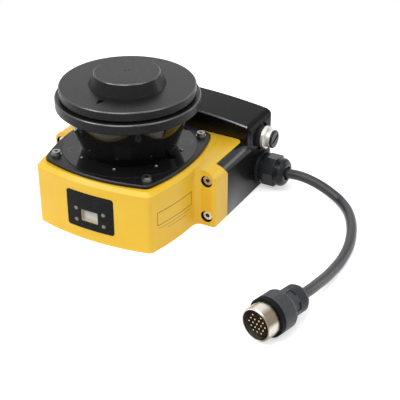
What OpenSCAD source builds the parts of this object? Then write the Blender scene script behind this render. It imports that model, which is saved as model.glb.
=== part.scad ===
// Safety laser scanner: yellow cast sensor head with a conical window and a black cap,
// a black input-output block clamped behind it, a capped round socket and a short cable
// that ends in an eighteen-pin plug. Origin: on the scan axis, at the base plane. Front is -Y.

/* [Sensor housing] */
// Half the housing's width at the crown of its bulged side
body_half_w = 51.7; // [50:0.1:54]
// Half the housing's depth at the crown of its bulged front
body_half_d = 53.5; // [52:0.1:55]
// Radius of the gentle bulge of the four walls
bulge_r = 180; // [160:1:220]
// Radius of the upright corner edges
corner_r = 4.5; // [3.5:0.1:5.5]
// Wall of the casting
wall = 3; // [2.5:0.1:3.2]
// Floor of the casting
floor_t = 3; // [2.5:0.1:4]
// Height of the rim that the window flange stands on
rim_z = 45.6; // [45:0.1:46.5]
// Width of the sloping edge round the rim
rim_chamfer = 2.6; // [2:0.1:3]
// Height of the flat deck behind and beside the rim
deck_z = 43.3; // [42.8:0.1:43.8]
// Thickness of the deck
deck_t = 3; // [2.5:0.1:3.2]
// Half the width of the deck behind the ears
deck_half_w = 60.2; // [59:0.1:61]
// Radius of the deck's rear corners
deck_corner_r = 4; // [3:0.1:6]
// Radius of the opening under the window
mouth_r = 44; // [43.6:0.1:44.4]
// Radius of the ledge inside that opening
ledge_r = 41; // [40:0.1:42]
// Height of the ledge
ledge_z = 42.4; // [42.1:0.1:42.6]

/* [Fixing ears] */
// Half the width across the ears, and of the whole unit
ear_half_w = 66.5; // [65.5:0.1:67]
// Front face of the ears, behind the scan axis
ear_front_y = 1.7; // [1:0.1:3]
// Rear face of the ears, where the block meets them
parting_y = 20.2; // [19:0.1:22]
// Radius of the shoulder along the top outer edge
shoulder_r = 9.5; // [8.5:0.1:10.5]
// Radius of the ear's upright front edge
ear_edge_r = 2.5; // [1.5:0.1:3.5]
// Radius of the hollow between the ear and the side wall
ear_fillet_r = 5; // [4:0.1:6]
// Height where the parting line starts to lean forward
lean_z = 34; // [32:0.1:35]
// How far the parting line leans forward at deck height
lean_y = 6; // [5:0.1:7]
// Sideways place of the ear screws
ear_screw_x = 60; // [59.4:0.1:60.4]
// Height of the lower ear screw
ear_screw_low = 7.3; // [6.2:0.1:7.8]
// Height of the upper ear screw
ear_screw_high = 35; // [33:0.1:35.2]
// Radius of an ear screw's shank
ear_screw_r = 2; // [1.8:0.05:2.2]
// Radius of its head
ear_head_r = 3.4; // [3.2:0.05:3.6]
// Height of its head
ear_head_h = 4; // [3.5:0.1:4.6]
// Length of its shank
ear_shank = 32; // [28:0.5:36]
// Across flats of its socket
ear_socket_af = 3; // [2.5:0.1:3.4]
// Radius of the counterbore
ear_bore_r = 4.3; // [4:0.05:4.6]
// Depth of the counterbore
ear_bore_depth = 5.6; // [5.4:0.1:7]

/* [Window flange] */
// Half the width of the flange plate
flange_half_w = 48.5; // [48:0.1:49]
// Half the depth of the flange plate
flange_half_d = 49.7; // [49.2:0.1:50.2]
// Bulge of the flange plate's edges
flange_bulge_r = 125; // [115:1:140]
// Corner radius of the flange plate
flange_corner_r = 5; // [4:0.1:6]
// Thickness of the flange plate
flange_t = 2.2; // [1.8:0.1:2.6]
// Width of the bevel round its top edge
flange_bevel = 0.6; // [0.3:0.1:0.8]
// Thickness of the gasket under it
gasket_t = 0.6; // [0.4:0.1:0.8]
// How far the gasket stays inside the plate's edge
gasket_inset = 0.8; // [0.5:0.1:1.2]
// Distance of the flange screws from the axis, along X and along Y
flange_screw_xy = 36.25; // [36:0.05:36.5]
// Radius of a flange screw's shank
flange_screw_r = 1.5; // [1.2:0.05:1.7]
// Radius of its head
flange_head_r = 2.9; // [2.6:0.05:3.1]
// Height of its head
flange_head_h = 2.2; // [1.8:0.1:3]
// Length of its shank
flange_shank = 9; // [7:0.5:10]
// Across flats of its socket
flange_socket_af = 2; // [1.5:0.1:2.2]
// Radius of its washer
washer_r = 3.6; // [3.3:0.05:3.8]
// Thickness of its washer
washer_t = 0.8; // [0.6:0.1:1]

/* [Scan window] */
// Radius of the window's base disc
disc_r = 46.6; // [46.2:0.1:46.8]
// Thickness of the base disc
disc_t = 2.6; // [2.3:0.1:2.8]
// Outer radius of the cone where it meets the disc
cone_low_r = 32.1; // [31:0.1:33]
// Outer radius of the cone under the cap ring
cone_high_r = 44.4; // [44:0.05:44.5]
// Thickness of the window
glass_t = 2.2; // [1.8:0.1:2.5]
// Half the angle at the rear that the pillar takes up
pillar_half = 44; // [38:0.5:48]
// Free angle between the window's edge and the pillar
pillar_gap = 0.6; // [0.5:0.1:0.9]
// Thickness of the pillar
pillar_t = 5; // [4:0.1:6]
// Count of window test lamps
lamp_count = 8; // [6:1:10]
// Their distance from the axis
lamp_ring_r = 37; // [36:0.1:38]
// Angle of the first lamp
lamp_start = -29; // [-32:1:-20]
// Radius of a lamp
lamp_r = 1.2; // [1:0.05:1.4]

/* [Cap] */
// Radius of the cap ring
ring_r = 49.55; // [49:0.05:50]
// Underside of the cap ring
ring_low = 80.9; // [80.5:0.1:81.3]
// Top of the cap ring
ring_high = 88.2; // [88:0.1:88.6]
// Inner radius of the ring's skirt
ring_bore_r = 44.8; // [44.6:0.05:45]
// Thickness of the ring's web
web_t = 3; // [2.5:0.1:3.2]
// Radius of the upper disc
cap_r = 46.55; // [46:0.05:47]
// Top of the upper disc
cap_z = 95.75; // [95.2:0.05:96.2]
// Wall of the cap
cap_wall = 2.4; // [2:0.1:2.8]
// Bevel on the rims of the cap and its ring
rim_bevel = 0.8; // [0.4:0.1:1.1]
// Height of the shadow groove between the ring and the upper disc
groove_h = 0.8; // [0.6:0.1:1]
// Depth of that groove
groove_depth = 2.2; // [1.6:0.1:2.6]
// Radius of the raised hub at its foot
hub_low_r = 26.3; // [25.8:0.1:27]
// Radius of the raised hub at its top
hub_high_r = 22.6; // [22.3:0.1:23]
// Top of the hub, and of the whole unit
hub_z = 104.5; // [104:0.1:105]

/* [Scan motor and mirror] */
// Radius of the motor shaft
shaft_r = 2; // [1.8:0.05:2.1]
// Outer radius of a bearing
bearing_r = 4.5; // [4.3:0.05:4.7]
// Width of a bearing
bearing_w = 3; // [2.5:0.1:3.2]
// Radius of the stator
stator_r = 12.5; // [12:0.1:13]
// Radius of the rotor bell
bell_r = 15.5; // [15.2:0.1:16.2]
// Radius of the mirror drum
drum_r = 20; // [18.5:0.1:20.5]
// Height of the optical axis
beam_z = 66.5; // [65.5:0.1:67]
// Thickness of the mirror
mirror_t = 2; // [1.5:0.1:2.4]
// Radius of the encoder disc
encoder_r = 30; // [29:0.1:31]
// Number of slots in the encoder disc
encoder_slots = 36; // [24:1:40]

/* [Optics] */
// Inner radius of the lens barrel
barrel_r = 20.2; // [19.9:0.1:20.6]
// Wall of the lens barrel
barrel_wall = 2; // [1.6:0.1:2.4]
// Bottom of the lens barrel
barrel_low = 12; // [11:0.1:13]
// Height of the receiver lens's rim
lens_rim_z = 41.2; // [40.6:0.1:41.8]
// Height of the rim of the receiver lens
lens_rim_t = 2.5; // [2:0.1:3]
// Rise of the lens's crown over its rim
lens_crown = 2.8; // [2:0.1:3.2]
// Outer radius of the laser tube
laser_r = 5; // [4.6:0.05:5.1]

/* [Boards] */
// Thickness of a circuit board
board_t = 1.6; // [1:0.1:1.8]
// Half the width of the main board
main_half_w = 42; // [41:0.5:43]
// Half the depth of the main board
main_half_d = 40; // [39:0.5:41]
// Height of the main board over the base plane
standoff_z = 6; // [5:0.5:7]
// Half the width of the connection board
io_half_w = 35; // [33:0.5:40]
// Lower edge of the connection board
io_board_low = 6; // [4:0.5:8]
// Upper edge of the connection board
io_board_high = 48; // [46:0.5:49]
// Distance of the connection board from the inside of the beam's front wall
io_board_set = 4.7; // [4:0.1:6]
// Half the width of the plug that joins the two boards
link_half_w = 12; // [8:0.5:14]

/* [Front panel] */
// Width of the panel
panel_w = 36.8; // [34:0.1:38]
// Height of the panel
panel_h = 27.5; // [25:0.1:28]
// Height of the panel's middle
panel_z = 22.5; // [21.5:0.1:23]
// Sideways place of the panel's middle
panel_x = 1.2; // [0:0.1:1.5]
// Corner radius of the panel
panel_corner_r = 2; // [1:0.1:3]
// Thickness of the panel
panel_t = 0.7; // [0.5:0.1:0.9]
// Width of the display opening
display_w = 13.6; // [12:0.1:15]
// Height of the display opening
display_h = 9.2; // [8:0.1:10]
// Sideways place of the display
display_x = 0.8; // [0.4:0.1:1.2]
// Height of the display's middle
display_z = 18.8; // [18:0.1:19.5]
// Sideways distance of the lamps from the panel's middle
led_x = 10.8; // [10:0.1:11.5]
// Height of the lower lamps
led_low = 14.4; // [13:0.1:14.8]
// Height of the upper lamps
led_high = 23.3; // [22.6:0.1:24]
// Radius of a lamp lens
led_r = 1.3; // [1:0.05:1.5]

/* [Input-output block] */
// Free space between the housing's rear wall and the block's beam
beam_gap = 0.3; // [0.1:0.05:0.5]
// Depth of the beam, from its front face to its rear face
beam_depth = 35.4; // [34:0.1:37]
// Height of the beam at its middle
crown_z = 58.6; // [57.5:0.1:59.5]
// Radius of the beam's crowned top
crown_r = 460; // [400:5:600]
// Radius of the beam's upper corners
beam_corner_r = 6; // [5:0.1:7]
// Radius of the beam's upright edges
beam_edge_r = 3; // [2:0.1:3.5]
// Bevel along the beam's top front edge
beam_bevel = 0.9; // [0.5:0.1:1.3]
// Free space between the housing's side walls and the block's cheeks
cheek_gap = 0.4; // [0.2:0.05:0.8]
// Wall of the block
block_wall = 3.5; // [3:0.1:4]
// Thickness of the cover under the block
cover_t = 2.5; // [2:0.1:3]
// Spacing of the rear fixing holes along X
mount_x = 100; // [90:1:104]
// Spacing of the rear fixing holes along Z
mount_z = 26; // [22:1:30]
// Height of the middle of the rear fixing holes
mount_mid_z = 27; // [25:0.5:28]
// Radius of a rear fixing hole
mount_r = 2.5; // [2:0.05:2.6]
// Depth of a rear fixing hole
mount_depth = 8; // [6:0.5:9]

/* [Round socket and its cap] */
// Distance of the socket behind the beam's front face
socket_set = 17.7; // [16.2:0.1:18.2]
// Height of the socket
socket_z = 40.1; // [39:0.1:40.5]
// Radius of the scallop round the socket
scallop_r = 10.4; // [10:0.1:11]
// Depth of the scallop
scallop_depth = 1.6; // [1.2:0.1:2]
// Radius of the seal under the socket's flange
socket_seal_r = 8; // [7.5:0.05:8.3]
// Thickness of that seal
socket_seal_t = 4.1; // [3.5:0.1:4.5]
// Radius of the socket's flange
socket_flange_r = 8.6; // [8.4:0.05:9.2]
// Thickness of that flange
socket_flange_t = 3.1; // [2.5:0.1:3.5]
// Radius of the barrel
socket_barrel_r = 6.5; // [6.2:0.05:6.8]
// Length of the barrel
socket_barrel = 3.7; // [3:0.1:4.5]
// Outer radius of the threaded neck
neck_r = 6; // [5.5:0.05:6.2]
// Bore of the threaded neck
neck_bore_r = 4.9; // [4.6:0.05:5]
// Radius of the cap
plug_cap_r = 6.65; // [6.3:0.05:7]
// Thickness of the cap
plug_cap = 1.6; // [1.4:0.1:2.2]

/* [Cable gland] */
// Distance of the gland behind the beam's front face
gland_set = 20.2; // [19.7:0.1:21.2]
// Height of the gland
gland_z = 13.6; // [13.2:0.1:15]
// Radius of the sealing washer
seal_r = 12.6; // [12:0.1:13]
// Thickness of the sealing washer
seal_t = 1.6; // [1.2:0.1:2]
// Across flats of the gland
gland_af = 21; // [20:0.1:21.4]
// Length of the body's collar
gland_collar = 2.8; // [2.5:0.1:4]
// Length of the hexagon
gland_hex = 9.2; // [8:0.1:10]
// Length of the dome
gland_dome = 7; // [6:0.1:8]
// Radius of the gland's mouth
gland_mouth_r = 5.2; // [4.8:0.1:5.6]
// Radius of the cable
cable_r = 3.6; // [3.4:0.05:3.8]

/* [Plug] */
// Radius of the bare shell
shell_r = 11.1; // [10.8:0.05:11.4]
// Wall of the shell
shell_wall = 1.2; // [1:0.05:1.5]
// Length of the bare shell
shell = 9.6; // [9:0.1:10.5]
// Width of the sealing ring
plug_ring_w = 3.3; // [3:0.1:4]
// Radius of the sealing ring and of the body
plug_r = 12.9; // [12.6:0.05:12.95]
// Length of the body
plug_body_l = 11.4; // [10.5:0.1:12.5]
// Length of the waist behind the body
waist = 7; // [6.5:0.1:7.5]
// Radius of the waist
waist_r = 8.4; // [8:0.05:8.7]
// Radius of the clamp nut
clamp_r = 9.3; // [9:0.05:9.6]
// Length of the clamp nut behind the waist
clamp_l = 9.9; // [9:0.1:11]
// Pitch of the pins
pin_pitch = 3.1; // [2.9:0.05:3.2]
// Radius of a pin
pin_r = 0.45; // [0.4:0.05:0.6]

/* [Fits] */
// Free space between parts that are set beside each other
seat_gap = 0.2; // [0.1:0.05:0.3]
// Free space round a part that turns
run_gap = 0.4; // [0.3:0.05:0.6]
// Radial clearance of the shaft in its bearings
shaft_gap = 0.03; // [0.02:0.01:0.06]
// Radial clearance of a screw's thread in its hole
thread_gap = 0.05; // [0.03:0.01:0.1]
// Radial clearance of a screw in a plain hole
hole_gap = 0.25; // [0.2:0.05:0.4]

/* [Hidden] */
$fn = 72;

yellow = "#f2c230";
black = "#2a2b2c";
dark = "#3c3d40";
steel = "#b9b7b0";

// Heights that follow from the sizes above
flange_low = rim_z + gasket_t;
flange_top = flange_low + flange_t;
disc_low = flange_low;
disc_top = disc_low + disc_t;
web_low = ring_high - web_t;
block_front_y = parting_y + seat_gap;
beam_front_y = body_half_d + beam_gap;
block_rear_y = beam_front_y + beam_depth;
socket_y = beam_front_y + socket_set;
gland_y = beam_front_y + gland_set;
cheek_x = body_half_w + cheek_gap;
deck_rear_y = body_half_d - 0.1;
signs = [-1, 1];
corners = [[1, 1], [-1, 1], [-1, -1], [1, -1]];

// Outer radius of the window cone at a height
function cone_r(z) = cone_low_r + (cone_high_r - cone_low_r) * (z - disc_top) / (ring_low - disc_top);

// The corner rounds stand this much proud where they meet the long arcs
blend = 0.02;

// Centre of the corner round of a bulged rectangle: the neighbouring arcs, shrunk by the round
function corner_at(hx, hy, r, rc, n = 40) =
    n == 0 ? [hx - rc, hy - rc]
    : let (p = corner_at(hx, hy, r, rc, n - 1))
      [hx - r + sqrt(pow(r - rc, 2) - p[1] * p[1]), hy - r + sqrt(pow(r - rc, 2) - p[0] * p[0])];

// A block with four bulged sides and round corners, its sides leaning in by `lean` at the top
module bulged(hx, hy, r, rc, h, lean = 0) {
    c = corner_at(hx, hy, r, rc);
    reach = 4 * rc;
    along_x = [c[0] - (hx - r), c[1]] / (r - rc);
    along_y = [c[0], c[1] - (hy - r)] / (r - rc);
    wedge = [c + reach * along_x, c, c + reach * along_y];
    outline = [for (q = corners)
        for (i = [0:2])
            let (k = q[0] * q[1] > 0 ? i : 2 - i) [q[0] * wedge[k][0], q[1] * wedge[k][1]]];
    intersection() {
        linear_extrude(h) polygon(outline);
        translate([r - hx, 0, 0]) cylinder(h = h, r1 = r, r2 = r - lean, $fn = 240);
        translate([hx - r, 0, 0]) cylinder(h = h, r1 = r, r2 = r - lean, $fn = 240);
        translate([0, r - hy, 0]) cylinder(h = h, r1 = r, r2 = r - lean, $fn = 240);
        translate([0, hy - r, 0]) cylinder(h = h, r1 = r, r2 = r - lean, $fn = 240);
    }
    for (q = corners)
        translate([q[0] * c[0], q[1] * c[1], 0])
            cylinder(h = h, r1 = rc + blend, r2 = rc + blend - lean);
}

// A flat outline in X and Z, pulled along Y between two places
module along_y(y0, y1) translate([0, y1, 0]) rotate([90, 0, 0]) linear_extrude(y1 - y0) children();

// A rectangle with round corners, its middle at the origin
module round_rect(w, h, r) {
    square([w - 2 * r, h], center = true);
    square([w, h - 2 * r], center = true);
    for (q = corners) translate([q[0] * (w / 2 - r), q[1] * (h / 2 - r)]) circle(r);
}

// A box given by its two opposite corners
module span(a, b) translate(a) cube(b - a);

// A cylinder along Y between two places
module rod_y(x, z, r, y0, y1, sides = 48)
    translate([x, y1, z]) rotate([90, 0, 0]) cylinder(h = y1 - y0, r = r, $fn = sides);

// A cylinder or cone along X between two places
module rod_x(y, z, r, x0, x1, far_r = -1)
    translate([x0, y, z]) rotate([0, 90, 0]) cylinder(h = x1 - x0, r1 = r, r2 = far_r < 0 ? r : far_r);

// A ring standing on a height
module ring(inner, outer, z0, z1)
    translate([0, 0, z0]) difference() {
        cylinder(h = z1 - z0, r = outer);
        translate([0, 0, -1]) cylinder(h = z1 - z0 + 2, r = inner);
    }

// A disc with bevelled rims
module bevelled(r, z0, z1, low, high) {
    translate([0, 0, z0]) cylinder(h = low, r1 = r - low, r2 = r);
    translate([0, 0, z0 + low]) cylinder(h = z1 - z0 - low - high, r = r);
    translate([0, 0, z1 - high]) cylinder(h = high, r1 = r, r2 = r - high);
}

// A cap screw standing at the origin: head above, shank below
module cap_screw(head_r, head_h, shank_r, shank, af) {
    difference() {
        cylinder(h = head_h, r = head_r, $fn = 32);
        translate([0, 0, head_h * 0.45]) cylinder(h = head_h, r = af / 2 / cos(30), $fn = 6);
    }
    translate([0, 0, -shank]) cylinder(h = shank, r = shank_r, $fn = 24);
}

// ---- Sensor housing ----

// The wide outline across ears and cheeks, with round shoulders
module shoulder_outline() {
    square_h = deck_z - shoulder_r;
    translate([-ear_half_w, 0]) square([2 * ear_half_w, square_h]);
    translate([shoulder_r - ear_half_w, 0]) square([2 * (ear_half_w - shoulder_r), deck_z]);
    for (s = signs) translate([s * (ear_half_w - shoulder_r), square_h]) circle(shoulder_r);
}

// The slanting plane that parts the yellow ears from the black cheeks, pulled back by a gap
module behind_parting(gap) {
    run = 80;
    for (s = signs)
        mirror([s < 0 ? 1 : 0, 0, 0])
            translate([deck_half_w + gap, 0, 0]) rotate([90, 0, 90])
                linear_extrude(ear_half_w) polygon([
                    [parting_y + gap, -1], [parting_y + gap + run, -1],
                    [parting_y + gap + run, deck_z + 1], [parting_y + gap - lean_y, deck_z + 1],
                    [parting_y + gap - lean_y, deck_z], [parting_y + gap, lean_z]]);
}

module ears() {
    side_x = body_half_w - 4;
    intersection() {
        along_y(ear_front_y, parting_y) shoulder_outline();
        linear_extrude(deck_z) {
            edge = ear_half_w - ear_edge_r;
            translate([-edge, ear_front_y]) square([2 * edge, parting_y - ear_front_y]);
            translate([-ear_half_w, ear_front_y + ear_edge_r])
                square([2 * ear_half_w, parting_y - ear_front_y - ear_edge_r]);
            for (s = signs) translate([s * edge, ear_front_y + ear_edge_r]) circle(ear_edge_r);
        }
    }
    for (s = signs) {
        foot_x = s * (body_half_w + ear_fillet_r);
        difference() {
            intersection() {
                along_y(ear_front_y - ear_fillet_r, ear_front_y + 1) shoulder_outline();
                span([min(s * side_x, foot_x), ear_front_y - ear_fillet_r - 1, 0],
                    [max(s * side_x, foot_x), ear_front_y + 2, deck_z]);
            }
            translate([foot_x, ear_front_y - ear_fillet_r, -1])
                cylinder(h = deck_z + 2, r = ear_fillet_r);
        }
    }
}

// The deck plate, trimmed to the shoulder line at its sides
module deck() {
    intersection() {
        along_y(parting_y - 1, deck_rear_y) shoulder_outline();
        translate([0, 0, deck_z - deck_t]) linear_extrude(deck_t) {
            flat = deck_half_w - deck_corner_r;
            translate([-flat, parting_y - 1]) square([2 * flat, deck_rear_y - parting_y + 1]);
            translate([-deck_half_w, parting_y - 1])
                square([2 * deck_half_w, deck_rear_y - parting_y + 1 - deck_corner_r]);
            for (s = signs) translate([s * flat, deck_rear_y - deck_corner_r]) circle(deck_corner_r);
        }
    }
}

module panel_outline(grow) translate([panel_x, panel_z])
    round_rect(panel_w + 2 * grow, panel_h + 2 * grow, panel_corner_r + grow);

bulge_y = bulge_r - body_half_d;
panel_seat = 0.3;
display_deep = 2.4;
glass_front = -body_half_d + display_deep;
glass_depth = 1.2;
module_depth = 6.4;
display_lip = 1.5;
led_gap = 0.2;
link_low = 12;
link_high = 20;
link_front_y = 33;
link_foot = 6;
link_room = 1.5;
pad_half_w = 20;
pad_low = 5;
pad_high = 28;
boss_r = 4;
boss_low = 34;
standoff_r = 2.5;
board_edge = 5;
board_at = [main_half_w - board_edge, main_half_d - board_edge];
board_screw_r = 1.25;
board_head_r = 2.2;
board_head_h = 1.6;
board_screw_l = 4.2;
board_screw_af = 1.8;

module base_housing() color(yellow) {
    inset = body_half_w - wall;
    difference() {
        union() {
            difference() {
                union() {
                    bulged(body_half_w, body_half_d, bulge_r, corner_r, rim_z - rim_chamfer);
                    translate([0, 0, rim_z - rim_chamfer])
                        bulged(body_half_w, body_half_d, bulge_r, corner_r, rim_chamfer, rim_chamfer);
                    ears();
                    deck();
                }
                translate([0, 0, floor_t])
                    bulged(inset, body_half_d - wall, bulge_r - wall, corner_r - 2,
                        deck_z - deck_t + 0.3 - floor_t);
            }
            for (q = corners)
                translate([q[0] * flange_screw_xy, q[1] * flange_screw_xy, boss_low])
                    cylinder(h = ledge_z - boss_low, r = boss_r);
            span([-pad_half_w, body_half_d - wall - 0.5, pad_low], [pad_half_w, deck_rear_y, pad_high]);
        }
        translate([0, 0, deck_z - deck_t - 1]) cylinder(h = 10, r = ledge_r);
        translate([0, 0, ledge_z]) cylinder(h = 10, r = mouth_r);
        behind_parting(0);
        span([-100, deck_rear_y, -1], [100, 200, 100]);
        span([-link_half_w - link_room, body_half_d - wall - 2, link_low - link_room],
            [link_half_w + link_room, 100, link_high + link_room]);
        for (q = corners)
            translate([q[0] * flange_screw_xy, q[1] * flange_screw_xy, boss_low + 2])
                cylinder(h = 20, r = flange_screw_r + thread_gap, $fn = 24);
        for (s = signs) for (z = [ear_screw_low, ear_screw_high]) {
            rod_y(s * ear_screw_x, z, ear_screw_r + hole_gap, ear_front_y - 1, parting_y + 1);
            rod_y(s * ear_screw_x, z, ear_bore_r, ear_front_y - 1, ear_front_y + ear_bore_depth);
        }
        // seat of the front panel
        difference() {
            along_y(-body_half_d - 2, -body_half_d + 2) panel_outline(led_gap / 2);
            translate([0, bulge_y, 0]) cylinder(h = deck_z, r = bulge_r - panel_seat, $fn = 240);
        }
        // display opening, its pocket behind, and the lamp holes
        along_y(-body_half_d - 2, -body_half_d + wall + 2)
            translate([display_x, display_z]) square([display_w, display_h], center = true);
        along_y(glass_front, -body_half_d + wall + 2)
            translate([display_x, display_z])
                square([display_w + 2 * display_lip + led_gap, display_h + 2 * display_lip + led_gap],
                    center = true);
        for (s = signs) for (z = [led_low, led_high])
            rod_y(panel_x + s * led_x, z, led_r + led_gap, -body_half_d - 2, -body_half_d + wall + 2, 24);
    }
}

module front_panel() color(black) difference() {
    intersection() {
        along_y(-body_half_d - 2, -body_half_d + 2) panel_outline(0);
        translate([0, bulge_y, 0]) cylinder(h = deck_z, r = bulge_r - panel_seat + panel_t, $fn = 240);
    }
    translate([0, bulge_y, -1]) cylinder(h = deck_z + 2, r = bulge_r - panel_seat, $fn = 240);
    along_y(-body_half_d - 2, -body_half_d + 2)
        translate([display_x, display_z]) square([display_w, display_h], center = true);
    for (s = signs) for (z = [led_low, led_high])
        rod_y(panel_x + s * led_x, z, led_r + led_gap, -body_half_d - 2, -body_half_d + 2, 24);
}

module display_block(depth, front) along_y(front, front + depth)
    translate([display_x, display_z])
        square([display_w + 2 * display_lip, display_h + 2 * display_lip], center = true);

module display_glass() color("#9fb3bd") display_block(glass_depth, glass_front);

module display_module() color(dark) display_block(module_depth, glass_front + glass_depth);

display_board_y = glass_front + glass_depth + module_depth;
display_board_w = 40;
display_board_low = 8.5;
display_board_high = 34;

module display_board() color("#2f6b45")
    span([display_x - display_board_w / 2, display_board_y, display_board_low],
        [display_x + display_board_w / 2, display_board_y + board_t, display_board_high]);

module led_lenses() color("#cfd4cc")
    for (s = signs) for (z = [led_low, led_high])
        rod_y(panel_x + s * led_x, z, led_r, -body_half_d - 0.3, display_board_y, 24);

module ear_screws() color(steel)
    for (s = signs) for (z = [ear_screw_low, ear_screw_high])
        translate([s * ear_screw_x, ear_front_y + ear_bore_depth, z]) rotate([90, 0, 0])
            cap_screw(ear_head_r, ear_head_h, ear_screw_r, ear_shank, ear_socket_af);

// ---- Window flange ----

module flange_plate() color(black) difference() {
    union() {
        translate([0, 0, flange_low])
            bulged(flange_half_w, flange_half_d, flange_bulge_r, flange_corner_r, flange_t - flange_bevel);
        translate([0, 0, flange_top - flange_bevel])
            bulged(flange_half_w, flange_half_d, flange_bulge_r, flange_corner_r,
                flange_bevel, flange_bevel);
    }
    translate([0, 0, flange_low - 1]) cylinder(h = 10, r = disc_r + seat_gap, $fn = 120);
    flange_holes();
}

module flange_holes()
    for (q = corners)
        translate([q[0] * flange_screw_xy, q[1] * flange_screw_xy, rim_z - 1])
            cylinder(h = 10, r = flange_screw_r + hole_gap, $fn = 24);

module window_gasket() color(dark) difference() {
    translate([0, 0, rim_z])
        bulged(flange_half_w - gasket_inset, flange_half_d - gasket_inset, flange_bulge_r - gasket_inset,
            flange_corner_r - gasket_inset, gasket_t);
    translate([0, 0, rim_z - 1]) cylinder(h = 10, r = mouth_r + seat_gap, $fn = 120);
    flange_holes();
}

module flange_washers() color(steel)
    for (q = corners)
        translate([q[0] * flange_screw_xy, q[1] * flange_screw_xy, flange_top])
            difference() {
                cylinder(h = washer_t, r = washer_r, $fn = 32);
                translate([0, 0, -1]) cylinder(h = washer_t + 2, r = flange_screw_r + hole_gap, $fn = 24);
            }

module flange_screws() color(steel)
    for (q = corners)
        translate([q[0] * flange_screw_xy, q[1] * flange_screw_xy, flange_top + washer_t])
            cap_screw(flange_head_r, flange_head_h, flange_screw_r, flange_shank, flange_socket_af);

// ---- Scan window, pillar and cap ring ----

window_sweep = 360 - 2 * (pillar_half + pillar_gap);
window_rim_z = 85;
disc_bore_r = 29.5;
pillar_foot_r = 24.5;
web_bore_r = 24;
lamp_hole_gap = 0.2;

module lamp_places() for (i = [0:lamp_count - 1])
    rotate([0, 0, lamp_start + i * 360 / lamp_count]) translate([lamp_ring_r, 0, 0]) children();

module scan_window() color("#1b1c1f") {
    rotate([0, 0, 90 + pillar_half + pillar_gap]) rotate_extrude(angle = window_sweep, $fn = 120)
        polygon([[cone_low_r, disc_top - 0.4], [cone_r(disc_top), disc_top], [cone_high_r, ring_low],
            [cone_high_r, window_rim_z], [cone_high_r - glass_t, window_rim_z],
            [cone_high_r - glass_t, ring_low], [cone_low_r - glass_t, disc_top - 0.4]]);
    difference() {
        translate([0, 0, disc_low]) cylinder(h = disc_t, r = disc_r, $fn = 120);
        translate([0, 0, disc_low - 1]) cylinder(h = disc_t + 2, r = disc_bore_r);
        lamp_places() translate([0, 0, disc_low - 1])
            cylinder(h = disc_t + 2, r = lamp_r + lamp_hole_gap, $fn = 16);
    }
}

lamp_board_low = ledge_z + 2.8;
lamp_board_t = 0.8;

module lamp_board() color("#2f6b45")
    ring(disc_bore_r + 0.8, mouth_r - 0.6, lamp_board_low, lamp_board_low + lamp_board_t);

module window_lamps() color("#d8d6c8")
    lamp_places() translate([0, 0, lamp_board_low + lamp_board_t])
        cylinder(h = disc_top + 0.3 - lamp_board_low - lamp_board_t, r = lamp_r, $fn = 16);

module head_frame() color(black) {
    difference() {
        bevelled(ring_r, ring_low, ring_high, rim_bevel, rim_bevel);
        translate([0, 0, ring_low - 1]) cylinder(h = web_low - ring_low + 1, r = ring_bore_r, $fn = 120);
        translate([0, 0, ring_low]) cylinder(h = 20, r = web_bore_r);
        motor_screw_places() cylinder(h = 40, r = motor_screw_r + thread_gap, center = true, $fn = 24);
        cap_screw_places() cylinder(h = 40, r = cap_screw_r + hole_gap, center = true, $fn = 24);
    }
    rotate([0, 0, 90 - pillar_half]) rotate_extrude(angle = 2 * pillar_half, $fn = 120)
        polygon([[pillar_foot_r, lamp_board_low], [disc_bore_r - 0.3, lamp_board_low],
            [disc_bore_r - 0.3, disc_top + 0.2], [cone_r(disc_top + 0.2), disc_top + 0.2],
            [cone_high_r, ring_low], [ring_bore_r + 1, ring_low], [ring_bore_r + 1, web_low + 1],
            [cone_high_r - pillar_t, web_low + 1], [cone_high_r - pillar_t, ring_low],
            [cone_r(disc_top + 2) - pillar_t, disc_top + 2], [pillar_foot_r, disc_top + 2]]);
}

// ---- Cap ----

cap_low = ring_high + groove_h;
cap_hollow_r = 40.5;
cap_hollow_z = cap_z - 3.2;
hub_hollow_r = 20.2;
hub_hollow_z = hub_z - 2.5;
cap_screw_ring = 36;
cap_screw_r = 1.5;
cap_screw_l = 6.5;
cap_boss_r = 3.6;
motor_screw_ring = 27;
motor_screw_r = 1.5;
inner_head_r = 2.75;
inner_head_h = 2;
inner_af = 2.5;

module cap_screw_places() for (i = [0:3])
    rotate([0, 0, 45 + 90 * i]) translate([cap_screw_ring, 0, web_low]) children();

module motor_screw_places() for (i = [0:3])
    rotate([0, 0, 90 * i]) translate([motor_screw_ring, 0, ring_high]) children();

module top_cap() color(black) difference() {
    union() {
        difference() {
            union() {
                bevelled(cap_r, cap_low, cap_z, rim_bevel, rim_bevel);
                translate([0, 0, cap_z])
                    cylinder(h = hub_z - rim_bevel - cap_z, r1 = hub_low_r, r2 = hub_high_r);
                translate([0, 0, hub_z - rim_bevel])
                    cylinder(h = rim_bevel, r1 = hub_high_r, r2 = hub_high_r - rim_bevel);
            }
            translate([0, 0, cap_low - 1]) cylinder(h = cap_hollow_z - cap_low + 1, r = cap_hollow_r);
            translate([0, 0, cap_low]) cylinder(h = hub_hollow_z - cap_low, r = hub_hollow_r);
        }
        cap_screw_places() translate([0, 0, web_t])
            cylinder(h = cap_hollow_z + 1 - ring_high, r = cap_boss_r, $fn = 32);
    }
    cap_screw_places() translate([0, 0, web_t - 1])
        cylinder(h = 5, r = cap_screw_r + thread_gap, $fn = 24);
}

module cap_seal() color(dark) ring(cap_hollow_r + 0.3, cap_r - groove_depth, ring_high, cap_low);

module cap_screws() color(steel)
    cap_screw_places() rotate([180, 0, 0])
        cap_screw(inner_head_r, inner_head_h, cap_screw_r, cap_screw_l, inner_af);

// ---- Scan motor, mirror and encoder ----

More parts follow.
